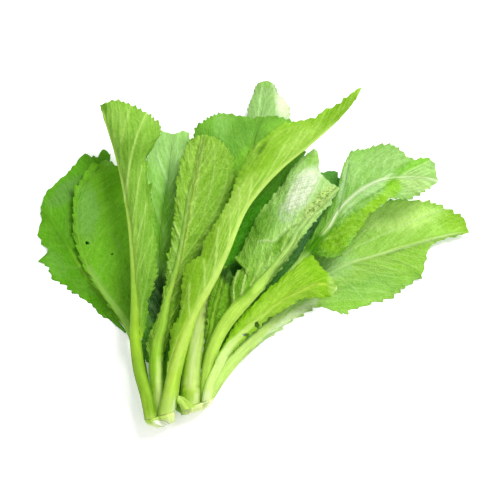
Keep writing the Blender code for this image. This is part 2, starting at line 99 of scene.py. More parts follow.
# The margin: each tooth's length in pitches, its height, and where along it the tip is
TOOTH_LENGTHS = (0.55, 1.5)
TOOTH_HEIGHTS = (0.45, 1.2)
TOOTH_TIP = 0.66
TOOTH_CURVE = 1.3          # power that bends its long side
SCALLOP_PITCH = 3.6        # in teeth
SCALLOP_HEIGHT = 0.7
TEETH_BACK = 0.75          # of a tooth that the whole margin is set back
TEETH_SWEEP = 0.45         # how far the teeth lean to the tip
TEETH_DEPTH = 3 * MM       # how far into the blade the teeth pull it along
TEETH_ROOM = 4 * MM        # breadth of half a blade from which on they are full
TEETH_FROM = 0.04          # share of the blade over which they set in
TEETH_UNTIL = 0.03         # and over which they end at the tip
DARK_TIPS = (1.6, 0.6)     # a tooth darkens by so much of its height, less so much
TIP_DEPTH = 1.2 * MM
FRILL_DEPTH = 7 * MM
FRILL_SIZES = (2.6, 1.9, 4.3)  # mm
WAVE_STARTS = (0, 6.28)    # radians, drawn at random

# The crinkles: sizes in mm on the leaf laid flat
CRINKLE_CELL = 5.5
CRINKLE_BUMP = 9.0
VEIN_VALLEY = 5.0
CELL_VALLEY = 0.5          # of a cell
VALLEY_SHARE = 0.7         # of the crinkles that follows the veins
CELL_SHARE = 0.3           # of the crinkles that follows the cells
BUMP_SHARE = 0.35
VEIN_RELIEF = 0.6          # mm for the clearest vein
FLUTES = 7                 # round the stalk
FLUTE_DEPTH = 0.05         # of its radius


def shade(colour):
    """A colour as a screen shows it, from 0 to 255, turned into light."""
    values = np.array(colour) / 255.0
    return tuple(np.where(values <= 0.04045, values / 12.92, ((values + 0.055) / 1.055) ** 2.4))


@dataclass
class Leaf:
    """One leaf's shape, as in the CAD."""
    name: str
    base: tuple          # where the stalk starts: mm along the crown, mm up its face
    radii: tuple         # radius in mm at the stalk's base, where the blade starts, and at the tip
    rib: list            # the midrib, from the stalk to the tip
    blade_at: int        # the rib point at which the blade starts
    left: list           # the blade's left edge, from the stalk to the tip
    right: list          # the blade's right edge
    ribbed_up: bool      # true where the ribbed underside faces up
    camber: float = 0.04
    ruffle: float = 1.5  # mm at the edge
    waves: float = 3.0


LEAVES = [
    Leaf("leaf_left_outer", (-24.5, 2.6), (2.3, 2.0, 0.7),
        rib=[(147, 390, 3), (142, 362, 3), (136, 337, 3), (119, 316, 3), (100, 293, 3.2), (80, 266, 3.4),
            (63, 238, 3.5), (50, 218, 3), (41, 206, 2)],
        left=[(126, 332, 1), (110, 321, 0), (99, 314, 0), (90, 303, 0), (78, 296, 0), (67, 287, 0),
            (55, 281, 0), (47, 268, 0), (40, 260, 1), (47, 254, 2), (46, 247, 1), (37, 237, 0.5),
            (42, 219, 0.5)],
        right=[(133, 318, 2), (127, 290, 2), (121, 255, 2.5), (114, 215, 3), (110, 178, 4), (109, 152, 5),
            (103, 149, 5), (97, 157, 5), (83, 154, 6), (74, 166, 6), (56, 182, 5), (45, 194, 4)],
        blade_at=3, ribbed_up=False, camber=-0.04, ruffle=0.4),
    Leaf("leaf_left_inner", (-27.5, 8), (1.9, 2.2, 0.7),
        rib=[(143, 390, 8.8), (137.5, 360, 9), (131, 334, 8.5), (119, 312, 8), (107, 297, 8),
            (97, 283, 7.4), (87, 266, 6.8), (80, 245, 7), (77, 222, 7.6), (79, 200, 8.6), (88, 181, 9.4),
            (107, 160, 9.6)],
        left=[(123, 323, 6.5), (108, 304, 6), (94, 286, 5.4), (84, 268, 5.4), (76, 247, 5.8),
            (72, 222, 6.5), (73, 197, 7.8), (79, 180, 8.8), (91, 165, 9.6)],
        right=[(138, 330, 6.5), (143, 317, 5), (152, 300, 4.5), (165, 280, 4.5), (168, 255, 5),
            (159, 225, 6.5), (144, 200, 8), (130, 180, 9), (118, 166, 9.8)],
        blade_at=2, ribbed_up=False, camber=0.01, ruffle=0.8),
    Leaf("leaf_left_tall", (-25, 17), (4.2, 4.0, 0.8),
        rib=[(146, 395, 18), (139.2, 370, 20), (135.5, 340, 23), (135, 310, 26), (134, 280, 28.5),
            (132.5, 255, 30), (130.5, 230, 32), (127, 205, 34), (122, 178, 36), (115, 150, 38),
            (107, 125, 40), (101, 105, 41)],
        left=[(141, 322, 16), (144, 290, 19), (144, 250, 21), (140, 215, 24), (135, 180, 27),
            (128, 150, 31), (118, 122, 35)],
        right=[(146, 328, 21), (149, 300, 25), (157, 275, 29), (157, 245, 31), (152, 215, 34),
            (149, 185, 36), (149, 158, 38), (156, 141, 40), (161, 130, 41), (152, 117, 42), (140, 109, 43),
            (124, 101, 43), (110, 101, 42)],
        blade_at=2, ribbed_up=True),
    Leaf("leaf_left_back", (-12.0, 3.2), (2.5, 2.2, 0.7),
        rib=[(169.5, 398, 3.4), (168, 372, 4.5), (166, 335, 6), (163, 300, 8), (160, 265, 10.5),
            (161, 230, 12.5), (165, 200, 12.5), (169, 175, 11), (173, 134, 5)],
        left=[(160, 390, 3), (158, 380, 3.4), (154, 368, 4.2), (144.5, 360, 4.8), (141, 348, 6),
            (141.5, 330, 7.8), (143.5, 315, 9), (146, 295, 10), (145, 265, 12), (141, 235, 13.5),
            (140, 195, 13), (146, 160, 9), (158, 132, 3)],
        right=[(175, 386, 3.3), (177, 372, 3.8), (179, 357, 4.5), (182, 335, 6.5), (187, 305, 8.5),
            (187, 265, 11), (187, 225, 13), (188, 190, 12), (191, 155, 8), (188, 132, 3)],
        blade_at=0, ribbed_up=True),
    Leaf("leaf_centre_left", (-20.2, 8.3), (4.0, 4.8, 0.8),
        rib=[(157, 395, 9.5), (155.5, 370, 11.5), (157, 345, 15), (162, 325, 19), (167, 300, 23),
            (173, 280, 25.5), (178, 262, 27.5), (184, 230, 29.5), (190, 195, 31), (197, 165, 32),
            (203, 135, 32)],
        left=[(149.5, 360, 10.6), (146.5, 347, 12.2), (149, 335, 14.6), (155, 323, 18), (160, 309, 21),
            (164, 290, 23), (167, 265, 25.5), (171, 240, 27.5), (174, 215, 29), (176, 190, 30),
            (180, 165, 31), (186, 147, 32), (194, 137, 33)],
        right=[(162, 360, 10.8), (166, 346, 12.4), (170, 331, 15.6), (175, 316, 18), (184, 295, 20),
            (195, 268, 22.5), (207, 245, 24.5), (220, 220, 26.5), (231, 190, 29), (234, 165, 31),
            (228, 148, 32), (215, 137, 33)],
        blade_at=1, ribbed_up=True),
    Leaf("leaf_front", (-13.0, 16), (6.2, 5.0, 0.9),
        rib=[(169.5, 400, 17), (174, 375, 20), (180.5, 350, 24), (187.5, 330, 28), (196, 310, 32),
            (208, 290, 36), (218.5, 270, 39.5), (228, 250, 42.5), (236, 230, 45), (245, 210, 47),
            (260, 190, 49), (281, 168, 51), (306, 147.5, 53), (330, 127, 54), (349, 107, 55),
            (361, 88, 55)],
        left=[(167.5, 364, 20.6), (168.5, 351, 22.6), (171, 341, 24.5), (171, 329, 26.5), (179, 315, 29.5),
            (181, 300, 31.5), (182, 283, 34), (190, 262, 37), (199, 256, 38.5), (206, 234, 41),
            (218, 216, 43.5), (232, 193, 46), (242, 168, 48.5), (250, 152, 50), (262, 138, 52),
            (277, 126, 53), (291, 121, 54), (304, 120, 55), (313, 118, 56), (322, 112, 56), (336, 106, 56),
            (349, 94, 56)],
        right=[(183.5, 362, 19.5), (187, 342, 20.4), (189, 322, 21.4), (198, 294, 25), (206, 268, 28.5),
            (214, 242, 32), (224, 219, 35), (238, 197, 38), (255, 177, 41), (280, 156, 45), (305, 138, 48),
            (330, 117, 51)],
        blade_at=1, ribbed_up=True),
    Leaf("leaf_centre_back", (6.1, 11.5), (7.3, 3.7, 0.9),
        rib=[(190.5, 390, 12), (192.5, 365, 12.5), (197, 338, 13), (203, 308, 13.5), (211, 280, 14.5),
            (221, 255, 16), (232, 225, 18), (242, 195, 19.5), (250, 160, 21), (256, 135, 22),
            (262, 117, 22)],
        left=[(206, 268, 14.5), (202, 240, 16), (199, 210, 18), (197, 180, 19.5), (194, 150, 21.5),
            (194, 131, 23), (204, 120, 24), (218, 114, 24), (234, 114, 24), (248, 117, 23)],
        right=[(226, 284, 13.6), (243, 272, 14.3), (257, 249, 16), (271, 215, 19), (289, 190, 20.5),
            (301, 165, 21.5), (305, 145, 22), (298, 128, 22), (289, 119, 23), (275, 117, 23)],
        blade_at=4, ribbed_up=False),
    Leaf("leaf_back_tip", (-2.5, 2.6), (2.2, 2.0, 0.7),
        rib=[(182.5, 397, 2.7), (188, 365, 3.2), (196, 330, 4), (207, 290, 5), (222, 245, 6.5),
            (238, 200, 8), (252, 150, 10), (262, 115, 8), (268, 81, 2.5)],
        left=[(176, 388, 1.6), (178, 370, 1.8), (182, 350, 2.2), (187, 315, 3), (195, 285, 4),
            (205, 258, 5), (214, 235, 6), (224, 200, 7), (236, 160, 8), (246, 128, 7), (249, 106, 4),
            (254, 93, 2), (259, 83, 1)],
        right=[(188.5, 386, 2.3), (194, 366, 2.4), (199, 345, 2.5), (210, 318, 3.5), (223, 288, 4.5),
            (240, 250, 5.5), (258, 210, 7.5), (275, 170, 8.5), (287, 140, 9), (290, 115, 7), (287, 103, 5),
            (278, 94, 3), (275, 86, 1.5)],
        blade_at=0, ribbed_up=True),
    Leaf("leaf_centre_right", (16.2, 6.2), (3.4, 5.0, 0.9),
        rib=[(204.5, 390, 8.5), (206.5, 375, 11.5), (211, 355, 15), (220, 333, 19), (234.5, 312, 23),
            (254, 292, 27), (274, 268, 31), (289, 247, 34), (299, 230, 36), (312, 213, 38), (326, 200, 39),
            (339, 188, 40)],
        left=[(231, 306, 20), (230, 290, 21), (234, 275, 23), (243, 265, 25), (235, 260, 25),
            (242, 247, 26), (250, 230, 27.5), (259, 214, 29), (270, 198, 30), (283, 183, 32),
            (289, 171, 33), (298, 161, 34), (306, 155, 35), (316, 150, 36), (319, 160, 37), (319, 169, 38),
            (326, 179, 39)],
        right=[(250, 304, 24), (266, 287, 27), (284, 265, 30), (299, 244, 33), (307, 232, 35),
            (318, 217, 36.5), (330, 204, 38)],
        blade_at=4, ribbed_up=True),
    Leaf("leaf_right_back", (9.5, 2.1), (1.9, 1.8, 0.7),
        rib=[(206, 368, 2.6), (226, 335, 4.5), (250, 305, 7), (275, 275, 9.5), (300, 245, 11.5),
            (318, 215, 13.5), (327, 190, 15), (330, 171, 16)],
        left=[(205, 354, 2.2), (212, 339, 3.4), (229, 317, 5.6), (247, 295, 7.8), (257, 281, 9),
            (269, 266, 10), (287, 245, 11), (300, 222, 13), (309, 202, 14.5), (316, 185, 15.5),
            (321, 173, 16)],
        right=[(217, 364, 2), (230, 349, 2.8), (242, 330, 4.6), (252, 315, 6), (263, 300, 7),
            (275, 288, 8.2), (290, 273, 9.7), (307, 257, 11), (324, 236, 12), (334, 212, 13.5),
            (340, 190, 15), (337, 172, 16)],
        blade_at=0, ribbed_up=False),
    Leaf("leaf_right_upper", (21.5, 2.9), (2.2, 2.3, 0.7),
        rib=[(213, 376, 3.6), (230, 345, 7.5), (252, 316, 11.5), (277, 288, 14.5), (300, 262, 17),
            (315, 244, 20), (328, 228, 23), (339, 210, 26), (350, 199, 28), (362, 189, 30),
            (380, 181, 31.5), (400, 178, 32), (420, 178, 32), (438, 181, 31)],
        left=[(311, 237, 19), (324, 215, 21), (334, 198, 23.5), (341, 185, 26), (344, 165, 28.5),
            (352, 151, 30.5), (370, 147, 31.5), (390, 144, 32.5), (401, 152, 33), (413, 159, 33),
            (430, 158, 32.5), (435, 169, 32)],
        right=[(312, 256, 19), (324, 257, 21), (337, 257, 23), (346, 252, 25), (353, 240, 27),
            (360, 229, 28.5), (367, 218, 30), (380, 207, 31), (392, 199, 32), (404, 199, 32.5),
            (418, 196, 32.5), (430, 188, 32)],
        blade_at=4, ribbed_up=True),
    Leaf("leaf_right_lower", (22.4, 9.3), (2.4, 4.4, 0.8),
        rib=[(216.5, 385, 10), (225.5, 370, 9.8), (242, 352, 8), (258, 337, 6.5), (272, 323, 5.5),
            (290, 304, 5), (312, 286, 5.5), (332, 272, 7), (352, 263, 8), (375, 256, 9), (400, 247, 9.5),
            (430, 239, 9), (455, 234, 8), (469, 232, 6)],
        left=[(231.5, 354, 8), (243.5, 337, 6), (256, 320, 4.5), (268, 304, 4), (284, 290, 4),
            (299, 269, 4.2), (313, 251, 4.6), (332, 239, 5.8), (352, 227, 8), (370, 212, 10),
            (390, 201, 12), (412, 199, 13), (425, 200, 13), (436, 203, 12), (447, 208, 11), (457, 213, 10),
            (464, 219, 9)],
        right=[(240, 361, 6), (256, 347, 1.5), (272, 335, 0.3), (290, 324, 0), (306, 313, 0),
            (320, 308, 0), (335, 311, 0), (347, 314, 0), (353, 310, 0), (370, 305, 0), (388, 299, 0),
            (404, 289, 1), (414, 281, 2), (422, 273, 4), (427, 258, 5), (430, 248, 5), (440, 240, 6),
            (455, 237, 6)],
        blade_at=1, ribbed_up=False, camber=-0.11, ruffle=0.5),
    Leaf("leaf_right_front", (18.6, 15.6), (3.2, 2.9, 0.8),
        rib=[(209.5, 387, 16.7), (218.5, 366, 17), (228, 349, 16.5), (244, 332, 17), (262, 316, 19),
            (283, 300, 21), (305, 289, 22), (322, 284, 21.5), (337, 289, 19)],
        left=[(216, 359, 16), (223.5, 345, 14.4), (231, 331, 15.2), (245, 311, 18), (258, 298, 20.5),
            (270, 287, 22.3), (282, 277, 23.5), (295, 267, 24.5), (303, 260, 25), (312, 256, 25),
            (320, 264, 24), (330, 276, 22)],
        right=[(229, 357, 14), (240, 345, 13), (252, 334, 13.5), (263, 323, 14.5), (275, 316, 15.5),
            (286, 309, 16.5), (300, 301, 17.5), (312, 299, 18), (323, 298, 18), (333, 295, 18)],
        blade_at=1, ribbed_up=False, ruffle=1.0),
    Leaf("leaf_young", (2.6, 1.9), (1.2, 1.4, 0.6),
        rib=[(198, 372, 2.5), (206, 350, 7), (210.5, 330, 13.5), (215, 308, 18), (221, 287, 19),
            (226, 266, 20)],
        left=[(206, 333, 16.5), (207, 316, 18.5), (209, 301, 19), (213, 286, 20), (220, 271, 20.5)],
        right=[(213, 335, 9.5), (222, 322, 13.5), (231, 306, 16), (236, 290, 17.5), (234, 276, 19)],
        blade_at=1, ribbed_up=False, ruffle=0.8),
]


@dataclass
class Patch:
    """A soft-edged ellipse of colour, in plan steps. Its first radius runs along its turn, in degrees."""
    x: float
    y: float
    wide: float
    high: float
    turn: float
    colour: tuple
    amount: float = 0.8
    spots: float = 0.0    # mm across each dark spot, or 0 for an even patch

    def __post_init__(self):
        self.colour = shade(self.colour)


@dataclass
class Strokes:
    """Veins, folds or streaks that run side by side, from a first line to a last one, in plan steps."""
    first: list
    last: list
    count: int
    breadth: float        # plan steps
    colour: tuple
    amount: float = 0.7
    relief: float = 0.0   # mm that each one stands out on the side that the eye sees

    def __post_init__(self):
        self.colour = shade(self.colour)


def line(points, breadth, colour, amount=0.7, relief=0.0):
    return Strokes(points, points, 1, breadth, colour, amount, relief)


@dataclass
class Look:
    """How a leaf's surface looks. The face is the side that the eye sees."""
    slot: str
    face: tuple
    face_far: tuple            # the face's colour towards the tip
    stalk: tuple
    rib_far: tuple             # the midrib's colour towards the tip
    vein: tuple
    crinkle: float = 0.9       # mm that the blade bulges between its veins
    teeth: float = 2.3         # mm
    tooth_pitch: float = 6.0   # mm
    frill: float = 0.8         # mm of small waves at the margin
    rib_left: float = 0.6      # share of the midrib's breadth that is left at the tip
    vein_gap: float = 17.0     # mm along the midrib
    vein_angle: tuple = (48, 34)   # degrees from the midrib, at the midrib and at the margin
    veins: float = 0.6         # how clearly the veins show
    bump: float = 0.5          # how rough the fine net of veins feels
    translucent: float = 0.3
    patches: list = field(default_factory=list)
    strokes: list = field(default_factory=list)
    holes: list = field(default_factory=list)     # (x, y, half width, half height) in plan steps

    def __post_init__(self):
        for part in ("face", "face_far", "stalk", "rib_far", "vein"):
            setattr(self, part, shade(getattr(self, part)))


VEIN = (200, 232, 130)
PALE_VEIN = (206, 236, 130)
# Painted light: a pale colour laid over the seam where the stalks meet the crown, so that the dark line
# which shading leaves along the seam reads lighter
SEAM_PAINTED_LIGHT = shade((232, 250, 150))  # where the stalks grow out of the crown
SEAM_LIGHT_AMOUNT = 0.6

LOOKS = {
    "leaf_left_outer": Look(
        "leaf_dark", (96, 172, 10), (104, 178, 24), (150, 204, 50), (104, 176, 24), (132, 186, 80),
        crinkle=0.4, teeth=2.6, tooth_pitch=7.0, vein_gap=20, veins=0.4, rib_left=0.3,
        patches=[
            # Painted sheen: a paler, bluish patch where the blade catches the light
            Patch(66, 192, 24, 9, -42, (112, 166, 76), 0.7),
            Patch(76, 226, 16, 26, 20, (84, 150, 10), 0.7),
            Patch(102, 305, 24, 14, 35, (84, 154, 0), 0.7),
            Patch(56, 264, 18, 10, 50, (116, 182, 60), 0.75),
            Patch(80, 285, 14, 6, 35, (110, 172, 50), 0.5),
            Patch(104, 158, 6, 12, 0, (84, 150, 10), 0.6)],
        strokes=[
            line([(62, 232), (54, 240), (46, 244)], 1.0, (112, 170, 60), 0.5, 0.2),
            line([(84, 268), (70, 268), (58, 272)], 1.0, (112, 170, 60), 0.5, 0.2)]),
    "leaf_left_inner": Look(
        "leaf_dark", (118, 188, 40), (122, 194, 30), (164, 216, 76), (120, 190, 40), (140, 190, 84),
        crinkle=0.7, teeth=3.6, tooth_pitch=8.0, vein_gap=22, veins=0.4, rib_left=0.12, frill=1.6,
        patches=[
            Patch(88, 212, 12, 30, 0, (126, 186, 84), 0.8),
            Patch(112, 186, 10, 18, 0, (112, 186, 10), 0.8),
            # Painted light that lifts the shadow which the tall leaf casts on this side
            Patch(118, 240, 9, 46, -4, (130, 206, 36), 0.8),
            Patch(108, 160, 6, 8, 0, (140, 206, 76), 0.8),
            Patch(118, 290, 12, 18, -20, (112, 178, 20), 0.6)],
        strokes=[
            line([(88, 265), (98, 282), (110, 299), (122, 316), (132, 332)], 2.6, (156, 206, 96), 0.75,
                 0.3),
            line([(110, 232), (117, 243), (125, 250)], 1.0, (136, 190, 76), 0.6, 0.3),
            line([(80, 215), (88, 228), (96, 246)], 0.9, (120, 176, 66), 0.4, 0.2)],
        holes=[(87, 243, 2.6, 2.2), (112, 254, 1.6, 1.4)]),
    "leaf_left_tall": Look(
        "leaf_green", (128, 184, 54), (140, 192, 66), (164, 208, 52), (166, 208, 84), (178, 216, 104),
        crinkle=0.7, teeth=3.0, tooth_pitch=5.5, vein_gap=26, vein_angle=(20, 16), rib_left=0.7,
        patches=[
            Patch(104, 106, 9, 5, 62, (98, 158, 26), 0.8),
            # Painted shade: the darker zone below the blade's fold
            Patch(134, 150, 14, 20, 0, (112, 166, 40), 0.7),
            Patch(118, 116, 12, 8, 50, (160, 206, 92), 0.6),
            Patch(150, 120, 12, 6, 38, (160, 208, 88), 0.5),
            Patch(151, 172, 7, 36, 3, (108, 164, 34), 0.8),
            Patch(138, 215, 4, 40, 0, (146, 196, 80), 0.4),
            Patch(147, 300, 6, 34, 0, (112, 168, 44), 0.6),
            Patch(134, 262, 4, 60, 0, (166, 212, 78), 0.7),
            Patch(141, 374, 9, 24, -12, (150, 196, 50), 0.8),
            Patch(151, 404, 6, 14, -12, (134, 180, 40), 0.8)],
        strokes=[
            line([(148, 111), (139, 128), (131, 155), (127, 183), (124, 204)], 1.1, VEIN, 0.75, 0.4),
            line([(131, 105), (125, 124), (121, 144)], 1.3, VEIN, 0.5, 0.3),
            line([(142, 165), (139, 180), (135, 205), (132, 226)], 0.8, VEIN, 0.55, 0.3),
            line([(147, 202), (142, 222), (136, 243)], 0.8, VEIN, 0.55, 0.3),
            line([(152, 236), (145, 254), (139, 270)], 0.8, VEIN, 0.4, 0.3),
            line([(104, 122), (113, 152), (121, 182), (127, 215), (131, 245), (133, 275)], 1.3,
                 (190, 226, 110), 0.6, 0.2)]),
    "leaf_left_back": Look(
        "leaf_pale", (116, 190, 4), (168, 222, 116), (120, 180, 30), (150, 206, 110), (186, 230, 150),
        crinkle=0.6, teeth=3.0, tooth_pitch=5.0, vein_gap=20, vein_angle=(30, 24), rib_left=0.3,
        patches=[
            Patch(166, 150, 28, 22, 0, (172, 218, 130), 0.9),
            Patch(166, 230, 22, 40, 0, (120, 192, 16), 0.9),
            Patch(180, 190, 8, 14, 0, (104, 164, 40), 0.6),
            # Painted shade: very dark green where this leaf lies deep in the gaps between the tall leaf,
            # the centre left leaf and the front leaf's stalk
            Patch(157, 300, 20, 26, 0, (20, 84, 24), 0.95),
            Patch(152, 345, 24, 22, 0, (60, 140, 0), 0.9)],
        strokes=[
            line([(157, 155), (163, 170), (169, 184)], 0.9, (204, 238, 170), 0.8, 0.4),
            line([(147, 160), (155, 197), (162, 226), (168, 250)], 2.6, (150, 206, 80), 0.7, 0.4),
            line([(178, 140), (176, 160), (173, 184)], 0.8, (196, 234, 160), 0.5, 0.3)]),
    "leaf_centre_left": Look(
        "leaf_green", (124, 182, 32), (150, 202, 60), (172, 222, 70), (176, 222, 100), (186, 222, 116),
        crinkle=1.3, teeth=2.4, tooth_pitch=5.0, vein_gap=15, vein_angle=(34, 24), bump=0.9, rib_left=0.12,
        veins=0.75, frill=1.2,
        patches=[
            Patch(218, 196, 13, 38, 10, (130, 188, 46), 0.6),
            Patch(200, 155, 14, 14, 0, (154, 200, 74), 0.5),
            Patch(177, 245, 4, 40, 12, (148, 198, 82), 0.6),
            Patch(196, 262, 6, 26, 30, (104, 160, 30), 0.7),
            # Painted highlight: the near-white light on the stalk's lower end
            Patch(159, 386, 4, 28, 0, (226, 250, 150), 0.95),
            Patch(152, 372, 3, 34, 0, (140, 196, 30), 0.6)],
        strokes=[
            line([(163, 320), (170, 296), (178, 272), (184, 248), (189, 225), (194, 190), (201, 150)], 1.2,
                 (196, 228, 96), 0.7, 0.3),
            line([(187, 190), (189, 204), (190, 214)], 0.9, VEIN, 0.7, 0.4),
            line([(173, 222), (179, 236), (184, 249)], 0.9, VEIN, 0.75, 0.4),
            line([(172, 244), (176, 254), (180, 262)], 0.8, VEIN, 0.6, 0.4),
            line([(203, 140), (200, 166), (196, 196), (190, 226)], 0.9, VEIN, 0.6, 0.4),
            line([(214, 143), (215, 168), (209, 196), (202, 220)], 0.8, VEIN, 0.5, 0.4),
            line([(228, 160), (226, 188), (215, 215), (204, 236)], 0.8, VEIN, 0.45, 0.4),
            line([(220, 222), (206, 238), (196, 252)], 0.8, VEIN, 0.4, 0.4)]),
    "leaf_front": Look(
        "leaf_green", (136, 190, 30), (150, 202, 54), (194, 230, 84), (196, 232, 110), (196, 230, 116),
        crinkle=0.5, teeth=2.2, bump=0.3, frill=0.6, vein_gap=30, vein_angle=(12, 14), rib_left=0.5,
        veins=0.35,
        patches=[
            Patch(342, 108, 26, 9, -42, (124, 176, 16), 0.9),
            Patch(236, 200, 36, 9, -55, (182, 224, 92), 0.7),
            Patch(246, 156, 16, 10, -30, (128, 184, 48), 0.7),
            # Painted shade in the slit torn in the blade
            Patch(262, 149, 9, 3, -52, (92, 146, 24), 0.7),
            Patch(300, 140, 26, 8, -38, (170, 212, 86), 0.6),
            Patch(190, 305, 24, 7, -70, (150, 200, 46), 0.6),
            Patch(290, 130, 18, 6, -22, (146, 196, 50), 0.6),
            Patch(169, 406, 9, 14, 4, (200, 234, 120), 0.7),
            Patch(178, 378, 2.4, 36, 12, (166, 212, 60), 0.7),
            Patch(169, 376, 2.4, 36, 12, (184, 214, 90), 0.6),
            # Painted highlight: a pale streak down the stalk's right edge, near the crown
            Patch(174, 408, 2.5, 12, 5, (232, 246, 190), 0.8),
            Patch(212, 230, 26, 5, -62, (136, 190, 46), 0.5)],
        strokes=[
            line([(174, 375), (180.5, 350), (187.5, 330), (196, 310), (208, 290), (218.5, 270), (228, 250),
                 (236, 230), (245, 210), (260, 190), (281, 168), (306, 147.5)], 2.2, (210, 238, 122), 0.75,
                 0.2),
            line([(204, 292), (205, 272), (203, 258)], 1.0, PALE_VEIN, 0.85, 0.3),
            line([(213, 278), (216, 258), (217, 240), (219, 226)], 1.0, PALE_VEIN, 0.85, 0.3),
            line([(224, 260), (229, 240), (230, 222), (231, 212)], 1.0, PALE_VEIN, 0.85, 0.3),
            line([(235, 232), (239, 212), (240, 198), (238, 186)], 1.0, PALE_VEIN, 0.8, 0.3),
            line([(244, 212), (250, 194), (252, 176)], 0.9, PALE_VEIN, 0.8, 0.3),
            line([(256, 195), (268, 174), (280, 154), (286, 144)], 0.9, PALE_VEIN, 0.7, 0.3),
            line([(268, 181), (284, 160), (296, 142), (302, 130)], 0.9, PALE_VEIN, 0.7, 0.3),
            line([(284, 166), (298, 148), (308, 130)], 0.8, PALE_VEIN, 0.6, 0.3),
            Strokes([(196, 305), (205, 272), (216, 240), (232, 205), (252, 170)], [(216, 284), (229, 250),
                    (240, 224), (254, 196), (280, 166)], 6, 0.7, VEIN, 0.6, 0.25),
            Strokes([(268, 140), (280, 132), (296, 124)], [(290, 162), (310, 142), (330, 124)], 8, 0.7,
                    (194, 228, 116), 0.5, 0.2),
            line([(190, 318), (188, 300), (190, 282)], 0.9, PALE_VEIN, 0.7, 0.3),
            # Painted shade in the slit torn in the blade, over a real groove
            line([(256, 160), (260, 150), (266, 141)], 0.9, (70, 120, 16), 0.6, -0.4),
            line([(252, 158), (256, 148), (262, 139)], 0.8, (190, 226, 110), 0.6, 0.5)]),
    "leaf_centre_back": Look(
        "leaf_dark", (70, 152, 6), (122, 182, 62), (208, 234, 128), (116, 176, 60), (140, 198, 86),
        crinkle=0.6, teeth=3.0, tooth_pitch=5.5, vein_gap=20, veins=0.25, rib_left=0.15,
        patches=[
            Patch(222, 124, 10, 16, 0, (152, 206, 104), 0.65),
            Patch(206, 126, 8, 14, 20, (128, 190, 60), 0.6),
            Patch(247, 126, 12, 8, 0, (100, 164, 44), 0.7),
            Patch(245, 166, 12, 26, 24, (142, 206, 50), 0.85),
            Patch(288, 128, 26, 9, 0, (142, 206, 66), 0.8),
            # The upper face's own darker green, with painted shade where it lies under the front leaf and
            # the centre right leaf
            Patch(246, 228, 48, 14, -56, (70, 158, 0), 0.9),
            # Painted light that lifts the shade in the gap between the centre left leaf and the front leaf
            Patch(226, 208, 8, 30, 30, (120, 192, 20), 0.9),
            # Painted shade: the dark hollow under the front leaf
            Patch(236, 272, 10, 12, 0, (30, 92, 6), 0.95),
            Patch(186, 362, 3.5, 30, 8, (164, 208, 40), 0.85),
            Patch(203, 352, 2.5, 36, 6, (164, 208, 70), 0.75),
            # Painted highlight: pale light down the middle of the stalk
            Patch(194, 352, 2.5, 34, 7, (232, 248, 180), 0.6),
            Patch(189, 397, 13, 7, 0, (178, 216, 76), 0.9),
            Patch(184, 393, 4, 7, 0, (144, 194, 20), 0.8),
            Patch(198, 398, 4, 10, 0, (226, 244, 170), 0.8),
            Patch(194, 404, 8, 4, 0, (214, 236, 150), 0.6)],
        strokes=[
            line([(178, 385.5), (184, 387), (191, 387.5), (198, 387), (204, 385.5)], 0.8, (146, 188, 20),
                 0.8, -0.4),
            line([(180, 389), (186, 390.5), (193, 391), (202, 389)], 1.2, (192, 226, 60), 0.7, 0.4),
            Strokes([(186, 382), (189, 350), (194, 325)], [(199, 380), (201, 352), (204, 326)], 5, 0.8,
                    (190, 224, 110), 0.4, 0.2)]),
    "leaf_back_tip": Look(
        # Painted shade: the face is dark towards the stalk, where the leaf lies under the leaves above it
        "leaf_pale", (60, 130, 12), (156, 198, 116), (110, 170, 40), (166, 212, 130), (188, 226, 156),
        crinkle=0.6, teeth=1.6, tooth_pitch=4.0, vein_gap=14, vein_angle=(30, 24), rib_left=0.4,
        patches=[
            Patch(283, 104, 8, 18, -10, (236, 244, 222), 0.95),
            Patch(257, 100, 9, 12, 0, (156, 204, 112), 0.6),
            Patch(266, 84, 6, 5, 0, (150, 204, 90), 0.7),
            # Painted shade over the middle of the leaf, which lies under the leaves above it
            Patch(230, 240, 60, 40, -60, (50, 118, 6), 0.8)],
        strokes=[
            line([(262, 88), (259, 103), (258, 120)], 0.9, (206, 236, 176), 0.7, 0.3),
            line([(272, 84), (276, 96), (276, 118)], 0.9, (214, 236, 190), 0.6, 0.3)]),
    "leaf_centre_right": Look(
        "leaf_pale", (136, 196, 40), (190, 230, 150), (202, 240, 100), (190, 230, 140), (190, 228, 116),
        crinkle=1.0, teeth=2.0, vein_gap=16, vein_angle=(34, 26), bump=0.8, rib_left=0.22, veins=0.5,
        patches=[
            Patch(262, 226, 22, 12, -60, (100, 164, 30), 0.85),
            Patch(282, 212, 16, 9, -55, (152, 204, 104), 0.7),
            # Painted highlight: the white gloss where the blade catches the light
            Patch(302, 190, 32, 12, -57, (252, 255, 248), 1.0),
            Patch(312, 160, 8, 9, 0, (150, 206, 80), 0.7),
            # Painted shadow under the curled edge of the blade
            Patch(279, 246, 16, 6, -45, (108, 170, 22), 0.85),
            Patch(318, 202, 28, 6, -47, (212, 238, 150), 0.85),
            Patch(318, 202, 27, 5.5, -47, (92, 140, 40), 0.8, 1.1),
            Patch(288, 256, 30, 3.2, -49, (92, 146, 56), 0.7),
            Patch(241, 284, 14, 18, 0, (110, 176, 10), 0.75)],
        strokes=[
            line([(297, 221), (289, 226), (282, 231), (277, 238), (273, 242), (266, 240), (257, 242)], 1.1,
                 (214, 236, 176), 0.7, 0.5),
            # Painted shadow under the curled edge, over a real groove
            line([(297, 224), (290, 230), (284, 234), (280, 241), (275, 246)], 1.2, (84, 136, 24), 0.7,
                 -0.4),
            Strokes([(278, 184), (300, 178), (320, 175)], [(262, 230), (283, 223), (302, 215)], 18, 0.5,
                    (116, 170, 70), 0.5, -0.2),
            Strokes([(303, 176), (290, 196), (276, 218)], [(316, 184), (306, 200), (294, 216)], 3, 0.6,
